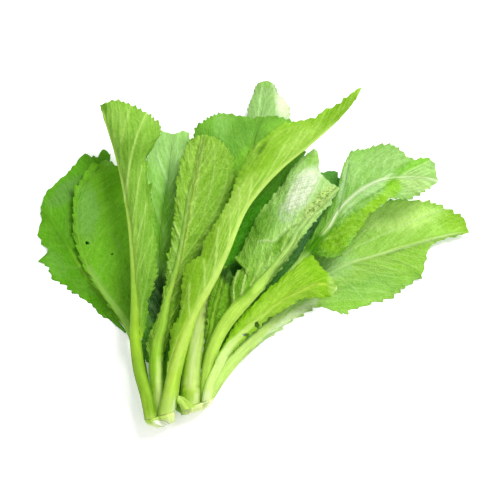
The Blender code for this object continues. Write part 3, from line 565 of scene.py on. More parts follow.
                    (180, 212, 150), 0.5, -0.2),
            line([(333, 192), (318, 212), (303, 232), (291, 250), (276, 268)], 1.0, (190, 226, 120), 0.8,
                 0.3),
            # Painted shadow: a dark line below the midrib, over a real groove
            line([(325, 216), (305, 240), (286, 262), (266, 284)], 1.0, (66, 112, 34), 0.7, -0.4),
            line([(234, 302), (233, 288), (236, 277), (241, 267)], 1.1, (216, 242, 146), 0.95, 0.4),
            line([(241, 296), (244, 281), (248, 267)], 1.1, (216, 242, 146), 0.95, 0.4),
            line([(250, 287), (256, 274), (263, 262)], 0.9, (216, 242, 146), 0.7, 0.4),
            line([(262, 275), (268, 262), (273, 252)], 0.9, (206, 236, 140), 0.6, 0.4),
            line([(292, 226), (287, 238), (281, 252)], 0.9, VEIN, 0.7, 0.4)],
        holes=[(258, 234, 1.4, 2.0), (265, 268, 1.3, 1.7)]),
    "leaf_right_back": Look(
        # Painted shade: the face is very dark near the stalk, where the leaf lies under the centre right
        # and right upper leaves
        "leaf_dark", (30, 104, 26), (100, 164, 66), (120, 180, 60), (96, 158, 70), (136, 190, 110),
        crinkle=0.8, teeth=2.0, vein_gap=14, veins=0.4, rib_left=0.3,
        patches=[
            Patch(312, 235, 30, 9, -62, (110, 170, 110), 0.8),
            Patch(330, 180, 9, 9, 0, (100, 166, 66), 0.8),
            # Painted shade in the pocket under the right upper leaf's flap
            Patch(303, 258, 14, 5, -55, (40, 110, 50), 0.8)]),
    "leaf_right_upper": Look(
        "leaf_bright", (116, 182, 50), (160, 206, 120), (180, 222, 110), (222, 244, 200), (190, 232, 126),
        crinkle=0.8, teeth=2.2, vein_gap=15, vein_angle=(40, 30), rib_left=0.5, veins=0.5,
        patches=[
            Patch(352, 172, 10, 14, 0, (172, 216, 134), 0.7),
            Patch(380, 160, 24, 10, 0, (162, 206, 124), 0.6),
            # Painted sheen near the midrib, over the blade's pale colour
            Patch(372, 188, 20, 6, -28, (190, 226, 164), 0.7),
            Patch(350, 207, 14, 4, -48, (196, 230, 168), 0.8),
            Patch(343, 186, 25, 3.4, 101, (196, 228, 176), 0.7),
            Patch(318, 246, 16, 14, 0, (76, 148, 0), 1.0),
            Patch(336, 242, 18, 12, -40, (124, 186, 0), 1.0),
            Patch(352, 226, 20, 11, -40, (122, 182, 0), 1.0),
            Patch(376, 206, 20, 8, -34, (146, 204, 22), 1.0),
            Patch(394, 186, 10, 9, -40, (144, 206, 26), 0.9),
            Patch(416, 164, 22, 5, -24, (138, 206, 58), 0.85),
            Patch(418, 184, 15, 10, 0, (178, 212, 134), 0.85)],
        strokes=[
            # The midrib's pale colour, with a painted sheen along it
            line([(329, 229), (336, 213), (345, 202.5), (357, 192.5), (370, 185), (383, 178.5),
                 (394, 173)], 1.0, (240, 250, 226), 0.95, 0.5),
            line([(349, 163), (346, 180), (342, 198), (338, 213)], 0.9, (96, 152, 70), 0.75, -0.5),
            # Painted shadow along the upper edge of the turned-over flap, over a real groove
            line([(321, 240), (332, 227), (345, 213), (356, 204), (372, 195), (388, 185), (398, 176)], 1.0,
                 (96, 160, 20), 0.6, -0.6),
            Strokes([(322, 243), (345, 222), (372, 202), (397, 184)], [(334, 254), (350, 242), (366, 224),
                    (388, 202)], 10, 0.6, (172, 220, 70), 0.6, 0.25),
            Strokes([(398, 178), (414, 168), (430, 161)], [(400, 194), (416, 193), (432, 186)], 8, 0.6,
                    (222, 242, 186), 0.6, 0.2),
            Strokes([(352, 192), (354, 176), (362, 160)], [(392, 170), (394, 160), (398, 150)], 5, 0.7,
                    (196, 232, 164), 0.6, 0.3)]),
    "leaf_right_lower": Look(
        "leaf_bright", (164, 214, 104), (162, 212, 84), (206, 236, 132), (178, 220, 104), (186, 222, 124),
        crinkle=0.6, teeth=3.0, tooth_pitch=8.0, vein_gap=18, vein_angle=(34, 24), veins=0.55,
        rib_left=0.12,
        patches=[
            # The stalk strip's own pale colour, made near white as painted light against the shade of the
            # right front leaf above it
            Patch(290, 320, 38, 6, -38, (238, 252, 212), 0.95),
            Patch(330, 268, 28, 13, -20, (188, 232, 150), 0.7),
            Patch(378, 286, 46, 14, -12, (144, 202, 90), 0.75),
            Patch(455, 222, 18, 12, 30, (154, 206, 46), 0.8),
            # The blade top's paler colour, with painted light that lifts the shade which the right upper
            # leaf's flap casts on it
            Patch(396, 216, 44, 16, -6, (214, 246, 146), 0.9),
            Patch(410, 262, 16, 26, 30, (156, 212, 70), 0.6),
            Patch(352, 306, 26, 5, 0, (136, 204, 50), 0.6)],
        strokes=[
            line([(268, 326), (290, 306), (312, 284), (330, 270)], 2.4, (206, 240, 160), 0.6),
            line([(262, 340), (284, 326), (304, 314), (318, 308)], 1.2, (150, 206, 90), 0.7),
            line([(322, 271), (345, 263), (370, 257), (400, 249), (430, 240), (462, 232)], 1.3,
                 (206, 234, 160), 0.75, 0.3),
            line([(326, 266), (350, 250), (375, 238), (400, 227), (425, 216), (452, 206)], 1.0,
                 (206, 234, 160), 0.65, 0.3),
            line([(340, 256), (360, 235), (380, 217), (392, 204)], 0.9, (200, 232, 150), 0.55, 0.3),
            line([(400, 227), (412, 216), (420, 204)], 0.8, (196, 230, 140), 0.4, 0.3),
            line([(377, 214), (375, 224), (378, 234)], 0.9, (212, 240, 160), 0.7, 0.3),
            line([(350, 262), (380, 266), (410, 274)], 0.8, (190, 226, 136), 0.4, 0.3),
            line([(330, 272), (350, 284), (366, 302)], 0.8, (190, 226, 136), 0.4, 0.3),
            line([(380, 255), (402, 262), (418, 268)], 0.8, (190, 226, 136), 0.35, 0.3),
            line([(386, 256), (396, 252), (404, 250)], 1.0, (96, 156, 40), 0.5, -0.3)]),
    "leaf_right_front": Look(
        "leaf_bright", (158, 216, 36), (140, 200, 20), (218, 244, 146), (188, 228, 70), (186, 226, 80),
        crinkle=0.8, teeth=2.2, vein_gap=12, vein_angle=(30, 26), rib_left=0.3, veins=0.45,
        patches=[
            Patch(310, 276, 16, 9, -30, (142, 202, 18), 0.7),
            Patch(332, 286, 4.5, 12, -10, (184, 224, 106), 0.85),
            Patch(258, 312, 18, 6, -42, (160, 216, 44), 0.6),
            Patch(280, 300, 20, 8, -40, (164, 216, 40), 0.6),
            # Painted highlight: the bright band along the stalk
            Patch(226, 352, 16, 4, -62, (222, 246, 160), 0.8),
            Patch(206, 398, 6, 9, 10, (238, 250, 204), 0.7)],
        strokes=[
            Strokes([(244, 324), (262, 302), (284, 279), (305, 261)], [(256, 330), (276, 312), (300, 300),
                    (328, 293)], 13, 0.7, (196, 232, 100), 0.6, 0.3),
            line([(330, 271), (336, 279), (337, 288), (333, 297)], 1.4, (222, 242, 180), 0.8, 0.8)],
        holes=[(257, 325, 3.2, 3.8), (246, 335, 4.0, 2.2)]),
    "leaf_young": Look(
        "leaf_green", (110, 170, 14), (120, 182, 26), (160, 212, 60), (140, 196, 50), (168, 212, 90),
        crinkle=1.2, teeth=2.0, vein_gap=9, bump=0.9,
        patches=[
            # Painted shade: the dark hollow under the front leaf, laid on this leaf's tip
            Patch(229, 275, 9, 10, 0, (24, 86, 20), 0.95)]),
}


def unit(vectors):
    return vectors / np.maximum(np.linalg.norm(vectors, axis=-1, keepdims=True), 1e-12)


def ease(values):
    values = np.clip(values, 0.0, 1.0)
    return values * values * (3 - 2 * values)


def placed(points):
    """World places of plan points, each moved along its line of sight to its height."""
    points = np.asarray(points, dtype=float)
    across = (points[..., 0:1] - PLAN_MIDDLE) * PLAN_STEP
    upward = (PLAN_MIDDLE - points[..., 1:2]) * PLAN_STEP
    height = points[..., 2:3] * MM
    on_sheet = PLAN_ORIGIN + across * RIGHT + upward * SHEET_UP
    share = (EYE[2] - height) / (EYE[2] - on_sheet[..., 2:3])
    return EYE + (on_sheet - EYE) * share


def plan_of(places):
    """Where the eye sees world places on the plan sheet."""
    ray = places - EYE
    reach = EYE_DISTANCE / -(ray @ TO_EYE) / PLAN_STEP
    return PLAN_MIDDLE + (ray @ RIGHT) * reach, PLAN_MIDDLE - (ray @ SHEET_UP) * reach


def on_crown(along, height, inward=0.0):
    """World places on the crown's face, from mm along it and mm up it."""
    along, height, inward = (np.asarray(value, float)[..., None] for value in (along, height, inward))
    on_face = along * MM * CROWN_ALONG + height * MM * CROWN_UP
    return placed((*CROWN_PLAN, 0.0)) + on_face + inward * CROWN_INWARD


def smooth_line(points):
    """A dense centripetal spline through the points, and the length run at each of its points."""
    ends = [2 * points[0] - points[1], *points, 2 * points[-1] - points[-2]]
    gaps = [np.linalg.norm(b - a) ** 0.5 for a, b in zip(ends, ends[1:])]
    knots = np.concatenate([[0.0], np.cumsum(gaps)])
    dense = []
    for i in range(1, len(ends) - 2):
        t0, t1, t2, t3 = knots[i - 1:i + 3]
        p0, p1, p2, p3 = ends[i - 1:i + 3]
        for t in np.linspace(t1, t2, LINE_STEPS, endpoint=False):
            a1 = (t1 - t) / (t1 - t0) * p0 + (t - t0) / (t1 - t0) * p1
            a2 = (t2 - t) / (t2 - t1) * p1 + (t - t1) / (t2 - t1) * p2
            a3 = (t3 - t) / (t3 - t2) * p2 + (t - t2) / (t3 - t2) * p3
            b1 = (t2 - t) / (t2 - t0) * a1 + (t - t0) / (t2 - t0) * a2
            b2 = (t3 - t) / (t3 - t1) * a2 + (t - t1) / (t3 - t1) * a3
            dense.append((t2 - t) / (t2 - t1) * b1 + (t - t1) / (t2 - t1) * b2)
    dense = np.array(dense + [ends[-2]])
    return dense, run_along(dense)


def run_along(points):
    """The length run at each point of a line."""
    return np.concatenate([[0.0], np.cumsum(np.linalg.norm(np.diff(points, axis=0), axis=1))])


def read_line(dense, run, shares):
    """Points at the given shares of a dense line's length."""
    return np.stack([np.interp(shares * run[-1], run, dense[:, k]) for k in range(3)], axis=1)


# Patterns on a leaf laid flat

LATTICE = 64  # cells of a pattern before it repeats

# The side veins and their branches: mm, degrees, and shares of the gap between the veins
VEIN_REACH = 12.0
VEIN_POINTS = 40
VEIN_WANDER = 0.6
VEIN_WAVE = 6.0            # mm for each radian that a vein wanders
VEIN_PHASES = (0, 6)       # radians, drawn at random
VEIN_STRAY = 4             # degrees either way
VEIN_FIRST = (0.0, 0.4)
VEIN_LAST = 0.25
VEIN_GAPS = (0.75, 1.25)
VEIN_BREADTHS = (1.0, 0.35)
VEIN_BOX = 6               # mm round a vein within which it shows
BRANCH_EVERY = 5           # points of a side vein
BRANCH_TURNS = (30, 48)
BRANCH_LENGTHS = (0.35, 0.6)
BRANCH_BEND = 0.012
BRANCH_POINTS = 10
BRANCH_BREADTHS = (0.55, 0.3)
FAR = 50.0                 # mm from any vein


def soft_noise(x, y, size, seed):
    """Smooth noise from -1 to 1 with bumps of about the given size."""
    table = np.random.RandomState(seed).uniform(-1, 1, (LATTICE, LATTICE))
    column, row = np.floor(x / size).astype(int), np.floor(y / size).astype(int)
    right, above = ease(x / size - column), ease(y / size - row)

    def corner(i, j):
        return table[(column + i) % LATTICE, (row + j) % LATTICE]

    low = corner(0, 0) * (1 - right) + corner(1, 0) * right
    high = corner(0, 1) * (1 - right) + corner(1, 1) * right
    return low * (1 - above) + high * above


def cell_border(x, y, size, seed):
    """How far each point is from the border of its cell, in cell sizes, for scattered cells."""
    table = np.random.RandomState(seed).uniform(0.1, 0.9, (LATTICE, LATTICE, 2))
    column, row = np.floor(x / size).astype(int), np.floor(y / size).astype(int)
    nearest, second = np.full(x.shape, np.inf), np.full(x.shape, np.inf)
    for i in (-1, 0, 1):
        for j in (-1, 0, 1):
            middle = table[(column + i) % LATTICE, (row + j) % LATTICE]
            away = np.hypot(column + i + middle[..., 0] - x / size, row + j + middle[..., 1] - y / size)
            second = np.minimum(second, np.maximum(nearest, away))
            nearest = np.minimum(nearest, away)
    return second - nearest


def saw_teeth(run, pitch, rng):
    """How far a toothed margin reaches out. Each tooth rises slowly and falls steeply."""
    stops = [0.0]
    while stops[-1] <= run[-1]:
        stops.append(stops[-1] + pitch * rng.uniform(*TOOTH_LENGTHS))
    stops = np.array(stops)
    tall = rng.uniform(*TOOTH_HEIGHTS, len(stops))
    at = np.searchsorted(stops, run, side="right") - 1
    share = (run - stops[at]) / (stops[at + 1] - stops[at])
    rise = np.where(share < TOOTH_TIP, (share / TOOTH_TIP) ** TOOTH_CURVE, (1 - share) / (1 - TOOTH_TIP))
    return tall[at] * rise


@dataclass
class Vein:
    """A vein of one half of the blade, on the leaf laid flat: mm along the midrib and away from it."""
    line: np.ndarray
    breadth: np.ndarray


def side_veins(length, start, widest, look, rng):
    """The veins of one half: they leave the midrib, bend towards the tip and branch."""
    veins = []
    at = start + look.vein_gap * rng.uniform(*VEIN_FIRST)
    while at < length - VEIN_LAST * look.vein_gap:
        reach = max(widest, VEIN_REACH)
        away = np.linspace(0, reach, VEIN_POINTS)
        stray = rng.uniform(-VEIN_STRAY, VEIN_STRAY)
        turn = np.radians(np.interp(away / reach, [0, 1], look.vein_angle) + stray)
        wander = VEIN_WANDER * np.sin(away / VEIN_WAVE + rng.uniform(*VEIN_PHASES)) * away / reach
        along = at + np.concatenate([[0], np.cumsum(np.diff(away) / np.tan(turn[1:]))]) + wander
        veins.append(Vein(np.stack([along, away], 1), np.interp(away / reach, [0, 1], VEIN_BREADTHS)))
        veins += branches(veins[-1], look, rng)
        at += look.vein_gap * rng.uniform(*VEIN_GAPS)
    return veins


def branches(vein, look, rng):
    """Small veins that leave a side vein on both sides."""
    small = []
    for k in range(BRANCH_EVERY, len(vein.line) - 3, BRANCH_EVERY):
        for side in (-1, 1):
            origin = vein.line[min(k + rng.randint(0, 4), len(vein.line) - 2)]
            ahead = vein.line[k + 1] - vein.line[k]
            turn = math.atan2(ahead[1], ahead[0]) + side * math.radians(rng.uniform(*BRANCH_TURNS))
            far = look.vein_gap * rng.uniform(*BRANCH_LENGTHS)
            steps = np.linspace(0, far, BRANCH_POINTS)[:, None]
            bend = side * BRANCH_BEND * steps ** 2
            heading = np.array([math.cos(turn), math.sin(turn)])
            sideways = np.array([-heading[1], heading[0]])
            route = origin + steps * heading - bend * sideways
            small.append(Vein(route, np.linspace(*BRANCH_BREADTHS, BRANCH_POINTS)))
    return small


def vein_strength(along, away, veins):
    """How much of a vein each place is, from 0 to 1, and its distance from the nearest vein in mm."""
    strength = np.zeros(along.shape)
    distance = np.full(along.shape, FAR)
    for vein in veins:
        low, high = vein.line.min(0) - VEIN_BOX, vein.line.max(0) + VEIN_BOX
        near = (along > low[0]) & (along < high[0]) & (away > low[1]) & (away < high[1])
        if not near.any():
            continue
        gap, at = line_distance(along[near], away[near], vein.line)
        breadth = np.interp(at, np.linspace(0, 1, len(vein.breadth)), vein.breadth)
        strength[near] = np.maximum(strength[near], np.exp(-(gap / breadth) ** 2) * np.minimum(1, breadth))
        distance[near] = np.minimum(distance[near], gap)
    return strength, distance


def line_distance(x, y, points):
    """How far places are from a bent line, and how far along the line they are, from 0 to 1."""
    best = np.full(x.shape, np.inf)
    at = np.zeros(x.shape)
    for k, (a, b) in enumerate(zip(points, points[1:])):
        step = b - a
        share = np.clip(((x - a[0]) * step[0] + (y - a[1]) * step[1]) / (step @ step), 0, 1)
        gap = np.hypot(x - a[0] - share * step[0], y - a[1] - share * step[1])
        closer = gap < best
        best = np.where(closer, gap, best)
        at = np.where(closer, (k + share) / (len(points) - 1), at)
    return best, at


# Colours and marks, placed on the plan sheet

STROKE_STRAY = 0.7         # plan steps that a stroke's points stray
STROKE_BOX = 4             # breadths round a stroke within which it shows
STROKE_CLEAR = (0.5, 1.0)  # how clear each of many strokes is
STROKE_BEGINS = (0.12, 0.2)  # share of it over which it sets in, and how much there is at its end
STROKE_FADES = (0.2, 0.1)
PATCH_WANDER = 0.18        # of a radius that a patch's edge wanders
PATCH_WANDER_SIZE = 5.0    # plan steps
PATCH_EDGE = 1.3           # radii at which a patch has faded out
PATCH_FADE = 0.8           # radii over which it fades
SPOT_CLEAR = 3
SEEDS = {"shade": 2, "fibres": 4, "spots": 5, "patches": 7}

def rounded(points):
    """A line with its corners cut off twice."""
    for _ in range(2):
        cut = np.stack([points[:-1] * 0.75 + points[1:] * 0.25, points[:-1] * 0.25 + points[1:] * 0.75], 1)
        points = np.vstack([points[:1], cut.reshape(-1, 2), points[-1:]])
    return points


def marks(x, y, strokes, rng):
    """How much of each place the strokes cover, from 0 to 1."""
    cover = np.zeros(x.shape)
    first, last = np.array(strokes.first, dtype=float), np.array(strokes.last, dtype=float)
    for k in range(strokes.count):
        share = k / max(strokes.count - 1, 1)
        points = first * (1 - share) + last * share
        if strokes.count > 1:
            points += rng.uniform(-STROKE_STRAY, STROKE_STRAY, points.shape)
        points = rounded(points)
        box = STROKE_BOX * strokes.breadth
        low, high = points.min(0) - box, points.max(0) + box
        near = (x > low[0]) & (x < high[0]) & (y > low[1]) & (y < high[1])
        if not near.any():
            continue
        gap, at = line_distance(x[near], y[near], points)
        ends = ease(at / STROKE_BEGINS[0] + STROKE_BEGINS[1])
        ends = ends * ease((1 - at) / STROKE_FADES[0] + STROKE_FADES[1])
        clear = rng.uniform(*STROKE_CLEAR) if strokes.count > 1 else 1.0
        cover[near] = np.maximum(cover[near], clear * ends * np.exp(-(gap / strokes.breadth) ** 2))
    return cover


def mixed(first, second, share):
    share = np.asarray(share)[..., None]
    return np.asarray(first) * (1 - share) + np.asarray(second) * share


def patched(colour, x, y, patches, seed):
    """The colour with each patch laid over it."""
    for patch in patches:
        c, s = math.cos(math.radians(patch.turn)), math.sin(math.radians(patch.turn))
        u = ((x - patch.x) * c + (y - patch.y) * s) / patch.wide
        v = (-(x - patch.x) * s + (y - patch.y) * c) / patch.high
        wander = PATCH_WANDER * soft_noise(x, y, PATCH_WANDER_SIZE, seed + SEEDS["patches"])
        cover = patch.amount * ease((PATCH_EDGE - np.hypot(u, v) + wander) / PATCH_FADE)
        if patch.spots:
            cover = cover * ease(soft_noise(x, y, patch.spots, seed + SEEDS["spots"]) * SPOT_CLEAR)
        colour = mixed(colour, patch.colour, cover)
    return colour


# The leaf's middle surface

def edge_line(points, rib, start_row, side, across, reach):
    """One edge of the blade, row by row; beside the stalk it keeps its least reach."""
    least = rib + side * across * reach[:, None]
    dense, run = smooth_line([least[start_row], *placed(points), least[-1]])
    edge = least.copy()
    edge[start_row:] = read_line(dense, run, np.linspace(0, 1, len(rib) - start_row))
    edge[-1] = least[-1]
    return edge


def across_rib(rib, tangent, left, right, along_blade):
    """The direction across the midrib at each row: level on the stalk, then between the blade's halves."""
    level = unit(np.cross(tangent, UP))
    to_left = unit(left - rib - np.sum((left - rib) * tangent, axis=1, keepdims=True) * tangent)
    to_right = unit(right - rib - np.sum((right - rib) * tangent, axis=1, keepdims=True) * tangent)
    share = ease(along_blade / SPREAD_SHARE)[:, None]
    across = unit(unit(to_right - to_left) * share + level * (1 - share))
    for _ in range(2):
        across[1:-1] = unit(across[:-2] + 2 * across[1:-1] + across[2:])
    across[0] = CROWN_ALONG
    return across


def smooth_rows(values, passes):
    """Evens out the values from row to row, with both ends kept."""
    for _ in range(passes):
        values = values.copy()
        values[1:-1] = (values[:-2] + 2 * values[1:-1] + values[2:]) / 4
    return values


class Sheet:
    """A leaf's middle surface as rows along the midrib and columns from its left edge to its right one."""

    def __init__(self, leaf, look, rng):
        self.leaf = leaf
        self.look = look
        points = np.vstack([on_crown(*leaf.base)[None, :], placed(leaf.rib)])
        self.line, self.line_run = smooth_line(list(points))
        self.start = self.line_run[LINE_STEPS * (leaf.blade_at + 1)] / self.line_run[-1]
        self.length = self.line_run[-1]
        across = self.cad_across()
        stalk = max(LEAST_STALK_ROWS, int(self.start * self.length / STALK_STEP))
        blade = int((1 - self.start) * self.length / BLADE_STEP)
        self.first = stalk
        self.shares = np.concatenate([np.linspace(0, self.start, stalk, endpoint=False),
                                      np.linspace(self.start, 1, blade)])
        self.along_blade = np.clip((self.shares - self.start) / (1 - self.start), 0, 1)
        self.rib = read_line(self.line, self.line_run, self.shares)
        self.radius = np.interp(self.shares, [0, self.start, 1], np.array(leaf.radii) * MM)
        self.radius = self.radius * (1 - (1 - look.rib_left) * ease(self.along_blade / RIB_NARROWS))
        coarse = self.cad_shares()
        self.across = np.stack([np.interp(self.shares, coarse, across[:, k]) for k in range(3)], axis=1)
        self.across = unit(smooth_rows(self.across, ACROSS_PASSES))
        tangent = unit(smooth_rows(np.gradient(self.rib, self.shares, axis=0), TANGENT_PASSES))
        self.normal = near_crown(unit(np.cross(self.across, tangent)), self.shares * self.length)
        self.build(rng)

    def cad_shares(self):
        return np.concatenate([np.linspace(0, self.start, CAD_STALK_ROWS, endpoint=False),
                               np.linspace(self.start, 1, CAD_BLADE_ROWS)])

    def cad_across(self):
        """The direction across the midrib at the rows of the CAD leaf."""
        leaf, shares = self.leaf, self.cad_shares()
        along_blade = np.clip((shares - self.start) / (1 - self.start), 0, 1)
        rib = read_line(self.line, self.line_run, shares)
        tangent = unit(np.gradient(rib, axis=0))
        reach = np.interp(shares, [0, self.start, 1], np.array(leaf.radii) * MM) + STALK_WING
        level = unit(np.cross(tangent, UP))
        left = edge_line(leaf.left, rib, CAD_STALK_ROWS, -1, level, reach)
        right = edge_line(leaf.right, rib, CAD_STALK_ROWS, 1, level, reach)
        return across_rib(rib, tangent, left, right, along_blade)

    def build(self, rng):
        leaf = self.leaf
        reach = self.radius + STALK_WING
        turns = np.linspace(-math.pi / 2, math.pi / 2, RIB_COLUMNS)
        middle = [self.rib + self.across * (self.radius * math.sin(turn))[:, None] for turn in turns]
        halves, tips = [], []
        for side, points, phase in ((-1, leaf.left, 0.0), (1, leaf.right, RIGHT_WAVES_AHEAD)):
            edge = edge_line(points, self.rib, self.first, side, self.across, reach)
            columns, dark = self.half_blade(edge, side, phase, rng)
            halves.append(columns)
            tips.append(dark)
        self.left_columns = len(halves[0])
        self.points = np.stack(halves[0][::-1] + middle + halves[1], axis=1)
        self.tips = np.stack(tips[0][::-1] + [self.radius * 0] * RIB_COLUMNS + tips[1], axis=1)
        self.crest = np.zeros(self.points.shape[1])
        self.crest[self.left_columns:self.left_columns + RIB_COLUMNS] = np.cos(turns)
        self.measure()

    def half_blade(self, edge, side, phase, rng):
        """Columns of points from the midrib's side to the toothed edge, and how far each is in a tooth."""
        leaf, look = self.leaf, self.look
        root = self.rib + side * self.across * self.radius[:, None]
        span = edge - root
        run = run_along(edge)
        teeth = saw_teeth(run / MM, look.tooth_pitch, rng)
        scallops = saw_teeth(run / MM, look.tooth_pitch * SCALLOP_PITCH, rng)
        room = ease(np.linalg.norm(span, axis=1) / TEETH_ROOM) * ease(self.along_blade / TEETH_FROM)
        room *= ease((1 - self.along_blade) / TEETH_UNTIL)
        out = (teeth + SCALLOP_HEIGHT * scallops - TEETH_BACK)[:, None] * look.teeth * MM * room[:, None]
        ahead = unit(np.gradient(edge, axis=0))
        jut = unit(span) * out + TEETH_SWEEP * ahead * (teeth * room * look.teeth * MM)[:, None]
        length = np.linalg.norm(span, axis=1, keepdims=True)
        bend = root + (OUTWARD_SHARE * length * side * self.across + (1 - OUTWARD_SHARE) * span) / 2
        swell = leaf.camber * length
        q = self.along_blade
        wave = np.sin(2 * math.pi * (leaf.waves * q + phase)) * np.sin(math.pi * q)
        count = int(np.clip(length.max() / BLADE_STEP, LEAST_COLUMNS, MOST_COLUMNS))
        starts = rng.uniform(*WAVE_STARTS, len(FRILL_SIZES))
        frill = sum(np.sin(run / MM / size + begin) for size, begin in zip(FRILL_SIZES, starts))
        frill = frill / len(FRILL_SIZES)
        frill = frill * look.frill * MM * room
        columns, tips = [], []
        for t in np.linspace(0, 1, count + 1)[1:]:
            place = (1 - t) ** 2 * root + 2 * t * (1 - t) * bend + t * t * edge
            place = place + self.normal * (swell * 4 * t * (1 - t))
            place = place + self.normal * (wave * leaf.ruffle * MM * t * t)[:, None]
            from_edge = (1 - t) * length[:, 0]
            place = place + self.normal * (frill * np.exp(-from_edge / FRILL_DEPTH))[:, None]
            place = place + jut * np.exp(-from_edge / TEETH_DEPTH)[:, None]
            columns.append(place)
            tips.append(ease(teeth * DARK_TIPS[0] - DARK_TIPS[1]) * room * np.exp(-from_edge / TIP_DEPTH))
        return columns, tips

    def measure(self):
        """Places on the leaf laid flat, in mm: along the midrib, and away from it on either side."""
        middle = self.left_columns + RIB_COLUMNS // 2
        steps = np.linalg.norm(np.diff(self.points, axis=1), axis=2)
        run = np.concatenate([np.zeros((len(steps), 1)), np.cumsum(steps, axis=1)], axis=1)
        self.away = (run - run[:, middle:middle + 1]) / MM
        self.along = np.repeat((self.shares * self.length / MM)[:, None], self.points.shape[1], axis=1)


def near_crown(normals, run):
    """The normals turned to the crown's own upward direction where the stalk leaves it."""
    share = ease(run / STALK_BLEND).reshape(-1, *[1] * (normals.ndim - 1))
    return unit(CROWN_UP * (1 - share) + normals * share)


def blade_normals(points, run):
    return near_crown(unit(np.cross(np.gradient(points, axis=1), np.gradient(points, axis=0))), run)


# Turning a sheet into a shell

def leaf_piece(leaf, look, seed):
    """One leaf's shell, and the outline of its stalk's cut end."""
    rng = np.random.RandomState(seed)
    sheet = Sheet(leaf, look, rng)
    along, away = sheet.along, np.abs(sheet.away)
    begins = sheet.start * sheet.length / MM
    strength = np.zeros(along.shape)
    distance = np.full(along.shape, FAR)
    middle = sheet.left_columns + RIB_COLUMNS // 2
    for half in (slice(0, middle), slice(middle, None)):
        veins = side_veins(sheet.length / MM, begins, away.max(), look, rng)
        strength[:, half], distance[:, half] = vein_strength(along[:, half], away[:, half], veins)
    beside = away - sheet.radius[:, None] / MM
    blade = ease(beside / BLADE_BEGINS) * ease(sheet.along_blade[:, None] / BLADE_OPENS)
    blade[:, sheet.crest > 0] = 0
    strength = strength * np.minimum(1, blade * 3)

    cells = cell_border(along, sheet.away, CRINKLE_CELL, seed)
    bulge = ease(distance / VEIN_VALLEY) * VALLEY_SHARE + ease(cells / CELL_VALLEY) * CELL_SHARE
    bulge += BUMP_SHARE * soft_noise(along, sheet.away, CRINKLE_BUMP, seed + 1)
    away_from_rib = -1 if leaf.ribbed_up else 1
    risen = blade * ease(beside / BLADE_RISES)
    relief = away_from_rib * look.crinkle * MM * (bulge - 0.5) * risen
    run = sheet.shares * sheet.length
    points = sheet.points + blade_normals(sheet.points, run) * relief[..., None]
    normals = blade_normals(points, run)

    flutes = 1 + FLUTE_DEPTH * np.cos(FLUTES * np.arccos(np.clip(sheet.crest, 0, 1)))
    softer = ease(sheet.along_blade / RIB_SOFTENS)[:, None]
    profile = (sheet.crest * flutes) * (1 - softer) + SOFT_RIB * sheet.crest ** 2 * softer
    crest = profile * sheet.radius[:, None]
    ridge = BLADE_THICKNESS / 2 + crest + strength * look.veins * VEIN_RELIEF * MM
    fade = FLATTER_SIDE * (1 - ease(sheet.shares / sheet.start))
    belly = BLADE_THICKNESS / 2 + crest * fade[:, None]
    above, below = (ridge, belly) if leaf.ribbed_up else (belly, ridge)
    top = points + normals * above[..., None]
    x, y = plan_of(top)
    covers = [marks(x, y, strokes, rng) for strokes in look.strokes]
    for strokes, cover in zip(look.strokes, covers):
        raised = normals * (cover * strokes.relief * MM)[..., None]
        top = top + raised
        points = points + raised
    bottom = points - normals * below[..., None]
    bottom[..., 2] = np.maximum(bottom[..., 2], 0.0)
    top[..., 2] = np.maximum(top[..., 2], LEAST_THICKNESS)

    piece = shell_object(leaf.name, top, bottom, hole_faces(look, x, y))
    colour = leaf_colour(sheet, blade, x, y, covers, seed)
    paint(piece, colour, strength * look.veins, blade, leaf_flat(sheet, blade, seed))
    return piece, np.concatenate([top[0], bottom[0][::-1]])


def hole_faces(look, x, y):
    """True for each face of the grid that lies in a hole of the leaf."""
    inside = np.zeros(x.shape, bool)
    for middle_x, middle_y, wide, high in look.holes:
        inside |= ((x - middle_x) / wide) ** 2 + ((y - middle_y) / high) ** 2 < 1
    return inside[:-1, :-1] & inside[1:, :-1] & inside[:-1, 1:] & inside[1:, 1:]


def shell_object(name, top, bottom, gaps):
    """Closes two grids of points into one solid, with a rim round the outside and round each hole."""
    rows, columns = top.shape[:2]
    size = rows * columns
    index = np.arange(size).reshape(rows, columns)
    corners = np.stack([index[:-1, :-1], index[:-1, 1:], index[1:, 1:], index[1:, :-1]], axis=-1)[~gaps]
    sides = np.concatenate([corners[:, [k, (k + 1) % 4]] for k in range(4)])
    key = sides[:, 0] * size + sides[:, 1]
    back = sides[:, 1] * size + sides[:, 0]
    free = sides[~np.isin(key, back)]
    rim = np.stack([free[:, 1], free[:, 0], free[:, 0] + size, free[:, 1] + size], axis=1)
    faces = np.concatenate([corners, corners[:, ::-1] + size, rim])
    piece = mesh_object(name, np.concatenate([top.reshape(-1, 3), bottom.reshape(-1, 3)]), faces)
    smooth = np.ones(len(faces), bool)
    smooth[2 * len(corners):] = free.max(axis=1) >= columns
    piece.data.polygons.foreach_set("use_smooth", smooth)
    return piece


def mesh_object(name, points, faces):
    """A smooth mesh of four-sided faces."""
    mesh = bpy.data.meshes.new(name)
    mesh.vertices.add(len(points))
    mesh.vertices.foreach_set("co", points.ravel())
    mesh.loops.add(faces.size)
    mesh.loops.foreach_set("vertex_index", faces.ravel())
    mesh.polygons.add(len(faces))
    mesh.polygons.foreach_set("loop_start", np.arange(0, faces.size, 4))
    mesh.update(calc_edges=True)
    mesh.shade_smooth()
    piece = bpy.data.objects.new(name + "_shell", mesh)
    bpy.context.scene.collection.objects.link(piece)
    return piece


# Lighter and darker clouds on the blade: how much, and mm across
CLOUDS = ((0.07, 26.0), (0.05, 8.0))
FIBRE_SIZE = 1.3           # mm across the stalk
FIBRE_STRETCH = 12         # times as long as that
FIBRE_SHADE = 0.12
